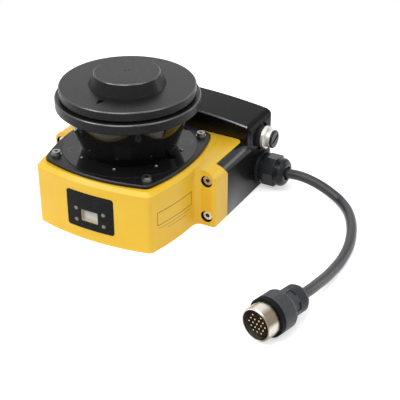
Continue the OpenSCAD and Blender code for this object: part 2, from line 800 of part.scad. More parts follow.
motor_flange_r = 31;
motor_flange_t = 3;
motor_flange_top = ring_high + motor_flange_t;
tube_r = 5.5;
tube_low = ring_high - 2.7;
tube_high = 98.2;
stator_h = 6;
bell_low = motor_flange_top + 0.8;
bell_high = 99.6;
bell_plate_t = 1;
drum_low = 49.5;
drum_high = 82;
encoder_t = 0.8;
shaft_low = 72;
motor_sink = 1.4;
motor_screw_l = 4.4;

module motor_base() color("#8d9094") difference() {
    union() {
        translate([0, 0, ring_high]) cylinder(h = motor_flange_t, r = motor_flange_r);
        translate([0, 0, tube_low]) cylinder(h = tube_high - tube_low, r = tube_r);
    }
    translate([0, 0, tube_low - 1]) cylinder(h = 30, r = bearing_r - 1);
    translate([0, 0, tube_low - 1]) cylinder(h = bearing_w + 1, r = bearing_r + shaft_gap);
    translate([0, 0, tube_high - bearing_w]) cylinder(h = bearing_w + 1, r = bearing_r + shaft_gap);
    motor_screw_places() {
        cylinder(h = 10, r = motor_screw_r + hole_gap, $fn = 24, center = true);
        translate([0, 0, motor_flange_t - motor_sink])
            cylinder(h = 5, r = inner_head_r + hole_gap, $fn = 32);
    }
}

module motor_screws() color(steel)
    motor_screw_places() translate([0, 0, motor_flange_t - motor_sink])
        cap_screw(inner_head_r, inner_head_h, motor_screw_r, motor_screw_l, inner_af);

module motor_bearings() color(steel)
    for (z = [tube_low, tube_high - bearing_w])
        ring(shaft_r + shaft_gap, bearing_r, z, z + bearing_w);

module motor_stator() color("#b5764a") difference() {
    translate([0, 0, motor_flange_top]) cylinder(h = stator_h, r = stator_r);
    translate([0, 0, motor_flange_top - 1]) cylinder(h = stator_h + 2, r = tube_r + thread_gap);
    for (i = [0:8]) rotate([0, 0, 40 * i])
        translate([stator_r - 4.5, -0.8, motor_flange_top - 1]) cube([10, 1.6, stator_h + 2]);
}

module rotor_bell() color("#9a9da0") difference() {
    translate([0, 0, bell_low]) cylinder(h = bell_high - bell_low, r = bell_r);
    translate([0, 0, bell_low - 1]) cylinder(h = bell_high - bell_plate_t - bell_low + 1, r = bell_r - 1.5);
    translate([0, 0, bell_low]) cylinder(h = 20, r = shaft_r + shaft_gap, $fn = 32);
}

module rotor_shaft() color(steel)
    translate([0, 0, shaft_low]) cylinder(h = bell_high - shaft_low, r = shaft_r, $fn = 32);

// The space in front of the mirror plane, pushed back by `depth` behind the mirror's face
module mirror_front(depth) translate([0, 0, beam_z]) rotate([-45, 0, 0])
    translate([-60, -60, -120 + depth]) cube([120, 120, 120]);

module mirror_drum() color("#55585c") difference() {
    translate([0, 0, drum_low]) cylinder(h = drum_high - drum_low, r = drum_r);
    mirror_front(mirror_t);
    translate([0, 0, shaft_low]) cylinder(h = 40, r = shaft_r + shaft_gap, $fn = 32);
}

module scan_mirror() color("#c9ced2") difference() {
    intersection() {
        translate([0, 0, drum_low + 0.3]) cylinder(h = drum_high - drum_low - 0.6, r = drum_r - 0.3);
        translate([0, 0, beam_z]) rotate([-45, 0, 0]) translate([-60, -60, 0]) cube([120, 120, mirror_t]);
    }
}

module encoder_disc() color("#7c8288") difference() {
    translate([0, 0, drum_high]) cylinder(h = encoder_t, r = encoder_r);
    translate([0, 0, drum_high - 1]) cylinder(h = 5, r = shaft_r + shaft_gap, $fn = 32);
    for (i = [0:encoder_slots - 1]) rotate([0, 0, i * 360 / encoder_slots])
        translate([encoder_r - 3.5, -0.7, drum_high - 1]) cube([2, 1.4, 5]);
}

sensor_half_w = 4;
sensor_reach = 4;
sensor_back = 5;
sensor_jaw = 1.6;
sensor_room = 1.2;

// A fork that reaches round the rim of the encoder disc
module encoder_sensor() color(dark) difference() {
    slot_low = drum_high - sensor_room;
    span([-sensor_half_w, encoder_r - sensor_reach, slot_low - sensor_jaw],
        [sensor_half_w, encoder_r + sensor_back, web_low]);
    span([-sensor_half_w - 1, encoder_r - sensor_reach - 1, slot_low],
        [sensor_half_w + 1, encoder_r + sensor_room, drum_high + encoder_t + sensor_room]);
}

// ---- Optics ----

barrel_out = barrel_r + barrel_wall;
spoke_z = 24;
spoke_h = 4;

module lens_barrel() color("#4a4c50") {
    difference() {
        union() {
            translate([0, 0, ledge_z]) cylinder(h = lamp_board_low - ledge_z, r = mouth_r - 0.3, $fn = 120);
            translate([0, 0, barrel_low]) cylinder(h = ledge_z - barrel_low + 1, r = barrel_out);
        }
        translate([0, 0, barrel_low - 1]) cylinder(h = lens_rim_z - barrel_low - 1, r = barrel_r);
        translate([0, 0, barrel_low - 1]) cylinder(h = 50, r = barrel_r - 1.4);
        translate([0, 0, lens_rim_z]) cylinder(h = 20, r = barrel_r);
    }
    difference() {
        union() {
            for (a = [90, 210, 330]) rotate([0, 0, a])
                translate([laser_r + 1, -0.75, spoke_z]) cube([barrel_r - laser_r - 0.5, 1.5, spoke_h]);
            translate([0, 0, spoke_z]) cylinder(h = spoke_h, r = laser_r + 2);
        }
        translate([0, 0, spoke_z - 1]) cylinder(h = spoke_h + 2, r = laser_r + thread_gap);
    }
}

lens_r = barrel_r - thread_gap;
crown_ball_r = (pow(lens_r, 2) + pow(lens_crown, 2)) / (2 * lens_crown);

module receiver_lens() color("#9fb4c4") difference() {
    intersection() {
        translate([0, 0, lens_rim_z]) cylinder(h = lens_rim_t + lens_crown + 1, r = lens_r);
        translate([0, 0, lens_rim_z + lens_rim_t + lens_crown - crown_ball_r])
            sphere(crown_ball_r, $fn = 160);
    }
    cylinder(h = 100, r = laser_r + 0.3);
}

laser_low = 22;
laser_high = 47.4;
laser_lens_z = 45;
laser_lens_r = 3.65;
laser_lens_t = 2;
laser_bore_r = 3.3;
diode_r = 2.8;
diode_flange_r = 4.4;
diode_flange_t = 1.2;
diode_can = 3.4;

module laser_tube() color("#b58a4a") difference() {
    translate([0, 0, laser_low]) cylinder(h = laser_high - laser_low, r = laser_r);
    translate([0, 0, laser_low - 1]) cylinder(h = 40, r = diode_r + thread_gap);
    translate([0, 0, laser_low + diode_can + 1.6]) cylinder(h = 40, r = laser_bore_r);
    translate([0, 0, laser_lens_z]) cylinder(h = 10, r = laser_lens_r + thread_gap);
}

module laser_lens() color("#b9c7d2")
    translate([0, 0, laser_lens_z]) cylinder(h = laser_lens_t, r = laser_lens_r);

module laser_diode() color(steel) {
    translate([0, 0, laser_low - diode_flange_t]) cylinder(h = diode_flange_t, r = diode_flange_r);
    translate([0, 0, laser_low - diode_flange_t]) cylinder(h = diode_flange_t + diode_can, r = diode_r);
}

// ---- Boards inside ----

module detector_board() color("#2f6b45") {
    translate([0, 0, barrel_low - board_t]) cylinder(h = board_t, r = barrel_out);
    translate([0, 0, barrel_low - 0.5]) cylinder(h = 4.5, r = 4);
}

module board_places() for (q = corners) translate([q[0] * board_at[0], q[1] * board_at[1], 0]) children();

// A part soldered to a board: its near corner, its size, and how high it stands
module chip(corner, size) translate([0, 0, -0.5]) translate(corner) cube(size + [0, 0, 0.5]);

module main_board() color("#2f6b45") difference() {
    union() {
        span([-main_half_w, -main_half_d, standoff_z], [main_half_w, main_half_d, standoff_z + board_t]);
        translate([0, 0, standoff_z + board_t]) {
            chip([-0.76 * main_half_w, 0.6 * main_half_d, 0], [14, 10, 2.2]);
            chip([0.57 * main_half_w, -0.75 * main_half_d, 0], [9, 22, 3]);
            chip([-0.81 * main_half_w, -0.6 * main_half_d, 0], [10, 10, 4]);
        }
    }
    board_places() translate([0, 0, standoff_z - 1])
        cylinder(h = board_t + 2, r = board_screw_r + hole_gap, $fn = 24);
}

module board_standoffs() color(steel) board_places() difference() {
    translate([0, 0, floor_t]) cylinder(h = standoff_z - floor_t, r = standoff_r, $fn = 32);
    translate([0, 0, floor_t - 1]) cylinder(h = 10, r = board_screw_r + thread_gap, $fn = 24);
}

hollow_front_y = beam_front_y + block_wall;
io_board_y = hollow_front_y + io_board_set;
io_board_mid_z = (io_board_low + io_board_high) / 2;
io_board_at = [io_half_w - 6, (io_board_high - io_board_low) / 2 - 4];

module io_board_places() for (q = corners)
    translate([q[0] * io_board_at[0], io_board_y, io_board_mid_z + q[1] * io_board_at[1]])
        rotate([-90, 0, 0]) children();

module board_screw()
    cap_screw(board_head_r, board_head_h, board_screw_r, board_screw_l, board_screw_af);

module board_screws() color(steel) {
    board_places() translate([0, 0, standoff_z + board_t]) board_screw();
    io_board_places() translate([0, 0, board_t]) board_screw();
}

module link_connector() color(black) {
    span([-link_half_w, link_front_y, link_low], [link_half_w, io_board_y, link_high]);
    span([-link_half_w, link_front_y, standoff_z + board_t],
        [link_half_w, link_front_y + link_foot, link_low]);
}

// ---- Input-output block ----

crown_low = crown_z - crown_r;
beam_corner_x = ear_half_w - beam_corner_r;
beam_corner_z = crown_low + sqrt(pow(crown_r - beam_corner_r, 2) - pow(beam_corner_x, 2));
hollow_half_w = ear_half_w - block_wall;
hollow_rear_y = block_rear_y - block_wall + 0.3;
hollow_top = crown_z - 8;
cover_screw_at = [0.6 * ear_half_w, [hollow_front_y + 3, hollow_rear_y - 3]];
cover_boss_r = 3.5;
cover_boss_h = 10;
cover_sink = 1.4;
cover_head_r = 2.6;
cover_head_h = 1.2;
cover_screw_l = 6.5;

// The beam between two places along Y, its upper edges shrunk by one amount at each end
module beam_slice(y0, y1, shrink0, shrink1) {
    lean = [beam_corner_x, beam_corner_z - crown_low] / (crown_r - beam_corner_r);
    reach = 4 * beam_corner_r;
    intersection() {
        along_y(y0, y1) polygon([
            [-ear_half_w, 0], [ear_half_w, 0], [ear_half_w, beam_corner_z],
            [beam_corner_x, beam_corner_z],
            [beam_corner_x + reach * lean[0], beam_corner_z + reach * lean[1]],
            [-beam_corner_x - reach * lean[0], beam_corner_z + reach * lean[1]],
            [-beam_corner_x, beam_corner_z], [-ear_half_w, beam_corner_z]]);
        translate([0, y1, crown_low]) rotate([90, 0, 0])
            cylinder(h = y1 - y0, r1 = crown_r - shrink1, r2 = crown_r - shrink0, $fn = 360);
    }
    for (s = signs) translate([s * beam_corner_x, y1, beam_corner_z]) rotate([90, 0, 0])
        cylinder(h = y1 - y0, r1 = beam_corner_r - shrink1, r2 = beam_corner_r - shrink0);
}

module beam() intersection() {
    union() {
        beam_slice(beam_front_y, beam_front_y + beam_bevel, beam_bevel, 0);
        beam_slice(beam_front_y + beam_bevel, block_rear_y - beam_bevel, 0, 0);
        beam_slice(block_rear_y - beam_bevel, block_rear_y, 0, beam_bevel);
    }
    translate([0, (beam_front_y + block_rear_y) / 2, 0]) linear_extrude(crown_z + 1)
        round_rect(2 * ear_half_w, block_rear_y - beam_front_y, beam_edge_r);
}

// The cheeks lie under the deck and fill the shoulder beside it
module cheeks() difference() {
    intersection() {
        along_y(parting_y - lean_y, beam_front_y + 6) shoulder_outline();
        union() {
            behind_parting(seat_gap);
            span([-deck_half_w - 2, block_front_y, 0],
                [deck_half_w + 2, beam_front_y + 6, deck_z - deck_t - seat_gap]);
        }
    }
    span([-cheek_x, 0, -1], [cheek_x, beam_front_y, 100]);
}

module gland_hole(r, x0, x1) rod_x(gland_y, gland_z, r, x0, x1);

gland_thread_r = 8;
scallop_x = ear_half_w - scallop_depth;

module io_block() color(black) difference() {
    union() {
        difference() {
            union() {
                beam();
                cheeks();
            }
            span([-hollow_half_w, hollow_front_y, -1], [hollow_half_w, hollow_rear_y, hollow_top]);
        }
        // bosses for the rear fixing holes, the board and the cover
        for (s = signs) for (t = signs)
            rod_y(s * mount_x / 2, mount_mid_z + t * mount_z / 2, mount_r + 3.5,
                block_rear_y - mount_depth - 2, hollow_rear_y + 0.5);
        for (q = corners)
            rod_y(q[0] * io_board_at[0], io_board_mid_z + q[1] * io_board_at[1], 3,
                hollow_front_y - 0.5, io_board_y, 32);
        for (s = signs) for (y = cover_screw_at[1])
            translate([s * cover_screw_at[0], y, cover_t + seat_gap])
                cylinder(h = cover_boss_h, r = cover_boss_r, $fn = 32);
    }
    for (s = signs) for (t = signs)
        rod_y(s * mount_x / 2, mount_mid_z + t * mount_z / 2, mount_r,
            block_rear_y - mount_depth, block_rear_y + 1);
    for (q = corners)
        rod_y(q[0] * io_board_at[0], io_board_mid_z + q[1] * io_board_at[1], board_screw_r + thread_gap,
            io_board_y - 4, io_board_y + 1, 24);
    for (s = signs) for (y = cover_screw_at[1])
        translate([s * cover_screw_at[0], y, -1])
            cylinder(h = cover_boss_h + 1, r = flange_screw_r + thread_gap, $fn = 24);
    for (s = signs) for (z = [ear_screw_low, ear_screw_high])
        rod_y(s * ear_screw_x, z, ear_screw_r + thread_gap, 0, ear_front_y + ear_bore_depth + ear_shank + 2);
    span([-link_half_w - link_room, beam_front_y - 1, link_low - link_room],
        [link_half_w + link_room, hollow_front_y + 1, link_high + link_room]);
    // scallop and hole of the round socket, hole of the gland
    rod_x(socket_y, socket_z, scallop_r, scallop_x, ear_half_w + 1);
    rod_x(socket_y, socket_z, neck_r + thread_gap, hollow_half_w - 1, ear_half_w + 1);
    gland_hole(gland_thread_r + thread_gap, hollow_half_w - 1, ear_half_w + 1);
}

module block_gasket() color(dark) difference() {
    span([-pad_half_w + 0.5, deck_rear_y, pad_low + 0.5], [pad_half_w - 0.5, beam_front_y, pad_high - 0.5]);
    span([-link_half_w - link_room, 0, link_low - link_room],
        [link_half_w + link_room, 100, link_high + link_room]);
}

module io_cover() color(dark) difference() {
    span([seat_gap - hollow_half_w, hollow_front_y + seat_gap, 0],
        [hollow_half_w - seat_gap, hollow_rear_y - seat_gap, cover_t + seat_gap]);
    for (s = signs) for (y = cover_screw_at[1]) translate([s * cover_screw_at[0], y, 0]) {
        cylinder(h = 10, r = flange_screw_r + hole_gap, center = true, $fn = 24);
        translate([0, 0, -1]) cylinder(h = cover_sink + 1, r = cover_head_r + hole_gap, $fn = 32);
    }
}

module io_cover_screws() color(steel)
    for (s = signs) for (y = cover_screw_at[1])
        translate([s * cover_screw_at[0], y, cover_sink]) rotate([180, 0, 0])
            cap_screw(cover_head_r, cover_head_h, flange_screw_r, cover_screw_l, flange_socket_af);

module io_board() color("#2f6b45") difference() {
    union() {
        span([-io_half_w, io_board_y, io_board_low], [io_half_w, io_board_y + board_t, io_board_high]);
        translate([0, io_board_y + board_t, io_board_mid_z]) rotate([-90, 0, 0]) {
            chip([-0.8 * io_half_w, -9, 0], [20, 20, 5]);
            chip([0.23 * io_half_w, -13, 0], [8, 26, 3]);
        }
    }
    io_board_places() translate([0, 0, -1])
        cylinder(h = board_t + 2, r = board_screw_r + hole_gap, $fn = 24);
}

// ---- Round socket and its cap ----

socket_flange_x = scallop_x + socket_seal_t;
socket_barrel_x = socket_flange_x + socket_flange_t;
socket_end = socket_barrel_x + socket_barrel;
socket_edge = 0.6;
socket_nut_t = 2.6;
socket_in_x = hollow_half_w - socket_nut_t - 0.4;

module socket_shell() color("#c9c5ba") difference() {
    union() {
        translate([socket_flange_x, socket_y, socket_z]) rotate([0, 90, 0]) rotate_extrude() polygon([
            [0, 0], [socket_flange_r - socket_edge, 0], [socket_flange_r, socket_edge],
            [socket_flange_r, socket_flange_t - socket_edge],
            [socket_flange_r - socket_edge, socket_flange_t], [socket_barrel_r, socket_flange_t],
            [socket_barrel_r, socket_flange_t + socket_barrel - 0.4],
            [socket_barrel_r - 0.4, socket_flange_t + socket_barrel],
            [0, socket_flange_t + socket_barrel]]);
        rod_x(socket_y, socket_z, neck_r, socket_in_x, socket_flange_x + 1);
    }
    rod_x(socket_y, socket_z, neck_bore_r, socket_in_x - 1, socket_end + 1);
}

module socket_seal() color(black) difference() {
    rod_x(socket_y, socket_z, socket_seal_r, scallop_x, socket_flange_x);
    rod_x(socket_y, socket_z, neck_r + thread_gap, scallop_x - 1, socket_flange_x + 1);
}

module socket_nut() color("#c9c5ba") difference() {
    translate([hollow_half_w - socket_nut_t, socket_y, socket_z]) rotate([0, 90, 0])
        cylinder(h = socket_nut_t, r = 7.5 / cos(30), $fn = 6);
    rod_x(socket_y, socket_z, neck_r + thread_gap, socket_in_x - 1, socket_end);
}

module socket_insert() color(dark) {
    rod_x(socket_y, socket_z, neck_bore_r - thread_gap, socket_in_x - 1, scallop_x);
    for (a = [45:90:315]) rod_x(socket_y + 2.4 * cos(a), socket_z + 2.4 * sin(a), 0.5,
        scallop_x - 1, scallop_x + 3);
}

cap_tip = 0.6;
cap_slot_l = 9.5;
cap_slot_w = 2;
cap_slot_depth = 0.9;
cap_face = socket_end + seat_gap;
slot_turn = 22;

module socket_cap() color(dark) difference() {
    union() {
        rod_x(socket_y, socket_z, plug_cap_r, cap_face, cap_face + plug_cap - cap_tip);
        rod_x(socket_y, socket_z, plug_cap_r, cap_face + plug_cap - cap_tip, cap_face + plug_cap,
            plug_cap_r - cap_tip);
        rod_x(socket_y, socket_z, neck_bore_r - 0.1, cap_face - 3.4, cap_face + 0.5);
    }
    translate([cap_face + plug_cap, socket_y, socket_z]) rotate([slot_turn, 0, 0])
        cube([2 * cap_slot_depth, cap_slot_l, cap_slot_w], center = true);
}

// ---- Cable gland ----

gland_turn = 20;
gland_body_end = ear_half_w + seal_t + gland_collar;
gland_hex_end = gland_body_end + gland_hex;
gland_end = gland_hex_end + gland_dome;
gland_collar_r = 11.4;
gland_nut_t = 3;
gland_dome_r = 10.4;
gland_dome_round = 4;
gland_mouth_l = 3.6;
gland_in_x = hollow_half_w - gland_nut_t - 0.4;
grommet_r = 6.2;

module gland_seal() color(black) difference() {
    rod_x(gland_y, gland_z, seal_r, ear_half_w, ear_half_w + seal_t);
    gland_hole(gland_thread_r + thread_gap, gland_in_x - 1, gland_end + 1);
}

module gland_body() color(dark) difference() {
    union() {
        gland_hole(gland_thread_r, gland_in_x, ear_half_w + seal_t + 1);
        gland_hole(gland_collar_r, ear_half_w + seal_t, gland_body_end);
    }
    gland_hole(grommet_r + thread_gap, gland_in_x - 1, gland_end + 1);
}

module gland_locknut() color(dark) difference() {
    translate([hollow_half_w - gland_nut_t, gland_y, gland_z]) rotate([gland_turn, 0, 0])
        rotate([0, 90, 0]) cylinder(h = gland_nut_t, r = 9.6 / cos(30), $fn = 6);
    gland_hole(gland_thread_r + thread_gap, gland_in_x - 1, gland_end + 1);
}

module gland_nut() color(dark) difference() {
    union() {
        translate([gland_body_end, gland_y, gland_z]) rotate([gland_turn, 0, 0])
            rotate([0, 90, 0]) cylinder(h = gland_hex, r = gland_af / 2 / cos(30), $fn = 6);
        translate([gland_hex_end, gland_y, gland_z]) rotate([0, 90, 0])
            rotate_extrude() {
                square([gland_dome_r, gland_dome - gland_dome_round]);
                square([gland_dome_r - gland_dome_round, gland_dome]);
                translate([gland_dome_r - gland_dome_round, gland_dome - gland_dome_round])
                    circle(gland_dome_round + blend);
            }
    }
    gland_hole(gland_mouth_r, gland_hex_end, gland_end + 1);
    gland_hole(grommet_r + thread_gap, gland_body_end - 1, gland_end - gland_mouth_l);
}

module gland_grommet() color(black) difference() {
    gland_hole(grommet_r, gland_in_x + 2, gland_end - gland_mouth_l - 1);
    gland_hole(cable_r + thread_gap, gland_in_x - 1, gland_end + 1);
}

// ---- Cable ----

cable_start_x = gland_in_x + 2.6;
floor_lie = cable_r + 0.1;
plug_face = [148.4, -98.7, plug_r];
plug_heading = 75.4;
plug_len = shell + plug_ring_w + plug_body_l + waist + clamp_l;
plug_dir = [cos(plug_heading), sin(plug_heading), 0];
plug_end = plug_face + plug_len * plug_dir;
route = [
    [cable_start_x, gland_y, gland_z], [78, gland_y, gland_z], [88, gland_y, gland_z + 0.2],
    [97, gland_y, 14.2], [106, gland_y, 13], [115, gland_y - 0.1, 10.4], [123, gland_y - 0.8, 7.3],
    [131, gland_y - 3.4, 4.6], [141.4, 60.3, floor_lie], [151.3, 42.4, floor_lie],
    [158, 21.8, floor_lie], [160.6, 3.4, floor_lie], [161, -12, 4.6], [161, -24, 6.2],
    [160.8, -36, 8.6], [160.2, -48, 10.8], plug_end - [0, 0, 0.4], plug_end - 6 * plug_dir];
steps = 3;
sides = 12;

// A point of the smooth line through the route, and its direction
function node_at(i) = route[max(0, min(len(route) - 1, i))];
function bend(i, t) = 0.5 * (2 * node_at(i) + (node_at(i + 1) - node_at(i - 1)) * t
    + (2 * node_at(i - 1) - 5 * node_at(i) + 4 * node_at(i + 1) - node_at(i + 2)) * t * t
    + (3 * node_at(i) - node_at(i - 1) - 3 * node_at(i + 1) + node_at(i + 2)) * t * t * t);
function lifted(p) = [p[0], p[1], max(p[2], floor_lie)];
path = [for (i = [0:len(route) - 2]) for (k = [0:steps - 1]) lifted(bend(i, k / steps)),
    route[len(route) - 1]];
function unit(v) = v / norm(v);
function heading_at(i) = unit(path[min(len(path) - 1, i + 1)] - path[max(0, i - 1)]);
function ring_at(i) = let (d = heading_at(i), side = unit(cross(d, [0, 0, 1])), up = cross(side, d))
    [for (k = [0:sides - 1]) path[i] + cable_r * (cos(k * 360 / sides) * side + sin(k * 360 / sides) * up)];

module cable() color(dark) {
    last = len(path) - 1;
    points = [for (i = [0:last]) each ring_at(i)];
    skin = [for (i = [0:last - 1]) for (k = [0:sides - 1]) let (m = (k + 1) % sides)
        each [[i * sides + k, i * sides + m, (i + 1) * sides + m],
            [i * sides + k, (i + 1) * sides + m, (i + 1) * sides + k]]];
    ends = [[for (k = [0:sides - 1]) sides - 1 - k], [for (k = [0:sides - 1]) last * sides + k]];
    polyhedron(points = points, faces = concat(skin, ends));
}

// ---- Plug ----

module plug_at(back) translate(plug_face + back * plug_dir) rotate([0, 0, plug_heading])
    rotate([0, 90, 0]) children();

ring_start = shell;
body_start = ring_start + plug_ring_w;
body_end = body_start + plug_body_l;
clamp_start = body_end + waist;
spigot = 6;
insert_front = 4;
pin_proud = 2.6;
shell_bore = shell_r - shell_wall;
tail_r = shell_r - 0.3;
spigot_end = body_start + spigot;

tail_gap = 0.3;

// A turned piece of the plug: its outline in radius and distance behind the face
module turned(outline) plug_at(0) rotate_extrude() polygon(outline);

module plug_shell() color("#d6cfbf") turned([
    [shell_bore, 0], [shell_r - 0.4, 0], [shell_r, 0.6], [shell_r, ring_start - tail_gap],
    [tail_r, ring_start - tail_gap], [tail_r, spigot_end], [shell_bore, spigot_end]]);

module plug_ring() color(black) turned([
    [tail_r + thread_gap, ring_start], [plug_r, ring_start],
    [plug_r, body_start], [tail_r + thread_gap, body_start]]);

body_round = 2;
neck_bore = 6.6;
grip_r = waist_r + 1;

module plug_body() color(dark) difference() {
    turned([
        [tail_r + thread_gap, body_start], [plug_r, body_start], [plug_r, body_end - body_round],
        [plug_r - 0.5, body_end - 0.6], [plug_r - body_round, body_end], [grip_r, body_end],
        [grip_r, clamp_start], [neck_bore, clamp_start], [neck_bore, spigot_end],
        [tail_r + thread_gap, spigot_end]]);
    for (a = [0:60:300]) plug_at(body_end + 1.2) rotate([0, 0, a + 15])
        translate([waist_r, -2.6, 0]) cube([3, 5.2, waist]);
}

module plug_clamp_nut() color(dark) turned([
    [cable_r + 0.9, clamp_start - 4], [neck_bore - 0.1, clamp_start - 4], [neck_bore - 0.1, clamp_start],
    [clamp_r, clamp_start], [clamp_r, plug_len - 3.4], [clamp_r - 1.3, plug_len - 1.2],
    [clamp_r - 3, plug_len], [cable_r + 0.9, plug_len]]);

pin_rows = [3, 4, 5, 4, 3];
pin_spots = [for (row = [0:4]) for (k = [0:pin_rows[row] - 1])
    [(k - (pin_rows[row] - 1) / 2) * pin_pitch, (2 - row) * pin_pitch * sin(60), row, k]];
// One place of the hexagon is left empty, so that the plug fits in one position only
pin_places = [for (p = pin_spots) if (!(p[2] == 1 && p[3] == 0)) [p[0], p[1]]];
pin_turn = 26;
insert_back = spigot_end - 0.3;

module pins_at(back) for (p = pin_places) plug_at(back) rotate([0, 0, pin_turn])
    translate([p[0], p[1], 0]) children();

module plug_pins() color("#d9b86a") pins_at(insert_front - pin_proud)
    cylinder(h = insert_back - insert_front + pin_proud, r = pin_r, $fn = 16);

module plug_insert() color("#2c2622") difference() {
    plug_at(insert_front) cylinder(h = insert_back - insert_front, r = shell_bore - thread_gap);
    pins_at(0) cylinder(h = 40, r = pin_r + thread_gap, $fn = 16);
    for (a = [0, 130]) plug_at(0) rotate([0, 0, a + 180]) translate([shell_bore, 0, 0])
        cylinder(h = insert_front + 3, r = 1.3, $fn = 24);
}

base_housing();
window_gasket();
flange_plate();
flange_screws();
flange_washers();
scan_window();
window_lamps();
lamp_board();
head_frame();
top_cap();
cap_seal();
cap_screws();
motor_base();
motor_screws();
motor_stator();
motor_bearings();
rotor_bell();
rotor_shaft();
mirror_drum();
scan_mirror();
encoder_disc();
encoder_sensor();
lens_barrel();
receiver_lens();
laser_tube();
laser_lens();
laser_diode();
detector_board();
main_board();
board_standoffs();
board_screws();
link_connector();
front_panel();
display_glass();
display_module();
display_board();
led_lenses();
ear_screws();
block_gasket();
io_block();
io_cover();
io_cover_screws();
io_board();
socket_shell();
socket_seal();
socket_nut();
socket_insert();
socket_cap();
gland_seal();
gland_body();
gland_locknut();
gland_nut();
gland_grommet();
cable();
plug_clamp_nut();
plug_body();
plug_ring();
plug_shell();
plug_insert();
plug_pins();
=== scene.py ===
# %% [markdown]
# # A safety laser scanner, dressed for the studio
# The solid model arrives from the CAD step as a fixed frame: every casting, screw and lens is
# already where it belongs, in metres, with the front towards -Y and the scan axis on Z. This
# notebook adds what solids can't carry: a camera, a soft studio, the cable as one smooth line,
# the finishes, and the small turned and moulded details.

# %% Load the frame
import bpy
import math
from mathutils import Vector, Matrix


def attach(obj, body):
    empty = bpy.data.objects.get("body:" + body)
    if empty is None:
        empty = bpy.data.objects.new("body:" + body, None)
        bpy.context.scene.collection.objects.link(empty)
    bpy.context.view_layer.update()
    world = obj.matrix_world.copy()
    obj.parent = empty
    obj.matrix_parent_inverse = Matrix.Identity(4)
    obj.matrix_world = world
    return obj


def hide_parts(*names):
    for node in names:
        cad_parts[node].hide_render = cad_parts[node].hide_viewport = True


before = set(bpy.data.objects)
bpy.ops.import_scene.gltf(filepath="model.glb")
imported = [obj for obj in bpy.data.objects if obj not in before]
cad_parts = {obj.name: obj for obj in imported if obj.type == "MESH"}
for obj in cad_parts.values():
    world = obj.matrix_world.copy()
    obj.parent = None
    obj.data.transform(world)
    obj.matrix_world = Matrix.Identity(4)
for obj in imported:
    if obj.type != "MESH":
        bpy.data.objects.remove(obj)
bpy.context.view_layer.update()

# %% [markdown]
# ## Camera
# A product shot of a small unit is taken from a little above with a long lens, so upright edges
# stay nearly upright. The camera could be aimed with a Track To constraint, but writing its
# matrix from three directions keeps the view exact: forward, right and up are worked out from a
# turn and a tilt, then set as the columns.

# %% Place the camera
MM = 0.001
sensor_width = 36


def aim_camera(turn, tilt, roll, distance, target, focal, shift):
    """A camera that looks at target from turn degrees round from the front and tilt degrees up.

    The focal length is a share of the sensor's width.
    """
    a, e, r = (math.radians(v) for v in (turn, tilt, roll))
    ahead = Vector((-math.cos(e) * math.sin(a), math.cos(e) * math.cos(a), -math.sin(e)))
    side = ahead.cross(Vector((0, 0, 1))).normalized()
    up = side.cross(ahead)
    side, up = math.cos(r) * side + math.sin(r) * up, math.cos(r) * up - math.sin(r) * side
    data = bpy.data.cameras.new("studio_camera")
    data.sensor_width = sensor_width
    data.lens = focal * sensor_width
    data.shift_x, data.shift_y = shift
    data.clip_start, data.clip_end = 0.05, 20
    eye = bpy.data.objects.new("studio_camera", data)
    bpy.context.scene.collection.objects.link(eye)
    turned = Matrix((side, up, -ahead)).transposed().to_4x4()
    eye.matrix_world = Matrix.Translation(Vector(target) - distance * ahead) @ turned
    bpy.context.scene.camera = eye
    return eye


camera = aim_camera(turn=29.421, tilt=30.948, roll=-0.1157, distance=741.1 * MM,
                    target=(55.27 * MM, 0, 15.42 * MM), focal=2.69068, shift=(0.001725, 0.014668))
print("camera at", [round(v, 4) for v in camera.matrix_world.translation])
print("lens", round(camera.data.lens, 1), "mm")

# %% [markdown]
# ## The cable
# The cable is one length of round jacketed cable. It leaves the gland level, sags to the
# surface, sweeps round and climbs a little into the plug. A mesh tube would need its rings
# worked out by hand; a curve object with a round bevel is a true tube at any bend, so the
# route's points become one open spline. Its thickness sits in the radius of each point, so that
# the curve's own box is no bigger than the cable. The points between them come from the same
# smooth blend that the solid model uses, so the line lies exactly in the solid cable.

# %% Cable route
gland_y, gland_z = 74, 13.6
cable_r, floor_lie = 3.6, 3.7
plug_face, plug_heading, plug_len = Vector((148.4, -98.7, 12.9)), math.radians(75.4), 41.2
plug_dir = Vector((math.cos(plug_heading), math.sin(plug_heading), 0))
plug_end = plug_face + plug_len * plug_dir
route = [Vector(p) for p in (
    (62.2, gland_y, gland_z), (78, gland_y, gland_z), (88, gland_y, gland_z + 0.2),
    (97, gland_y, 14.2), (106, gland_y, 13), (115, gland_y - 0.1, 10.4), (123, gland_y - 0.8, 7.3),
    (131, gland_y - 3.4, 4.6), (141.4, 60.3, floor_lie), (151.3, 42.4, floor_lie),
    (158, 21.8, floor_lie), (160.6, 3.4, floor_lie), (161, -12, 4.6), (161, -24, 6.2),
    (160.8, -36, 8.6), (160.2, -48, 10.8), plug_end - Vector((0, 0, 0.4)), plug_end - 6 * plug_dir)]


def smooth_line(points, steps):
    """A smooth line through every point given, no lower than the cable lies on the floor."""
    line = []
    for i in range(len(points) - 1):
        a, b, c, d = (points[max(0, min(len(points) - 1, i + k))] for k in (-1, 0, 1, 2))
        for k in range(steps):
            t = k / steps
            p = 0.5 * (2 * b + (c - a) * t + (2 * a - 5 * b + 4 * c - d) * t * t
                       + (3 * b - a - 3 * c + d) * t ** 3)
            line.append(Vector((p.x, p.y, max(p.z, floor_lie))))
    return line + [points[-1]]


cable_line = smooth_line(route, 6)
cable_length = sum((b - a).length for a, b in zip(cable_line, cable_line[1:]))
print("cable length mm:", round(cable_length, 1), "points:", len(cable_line))

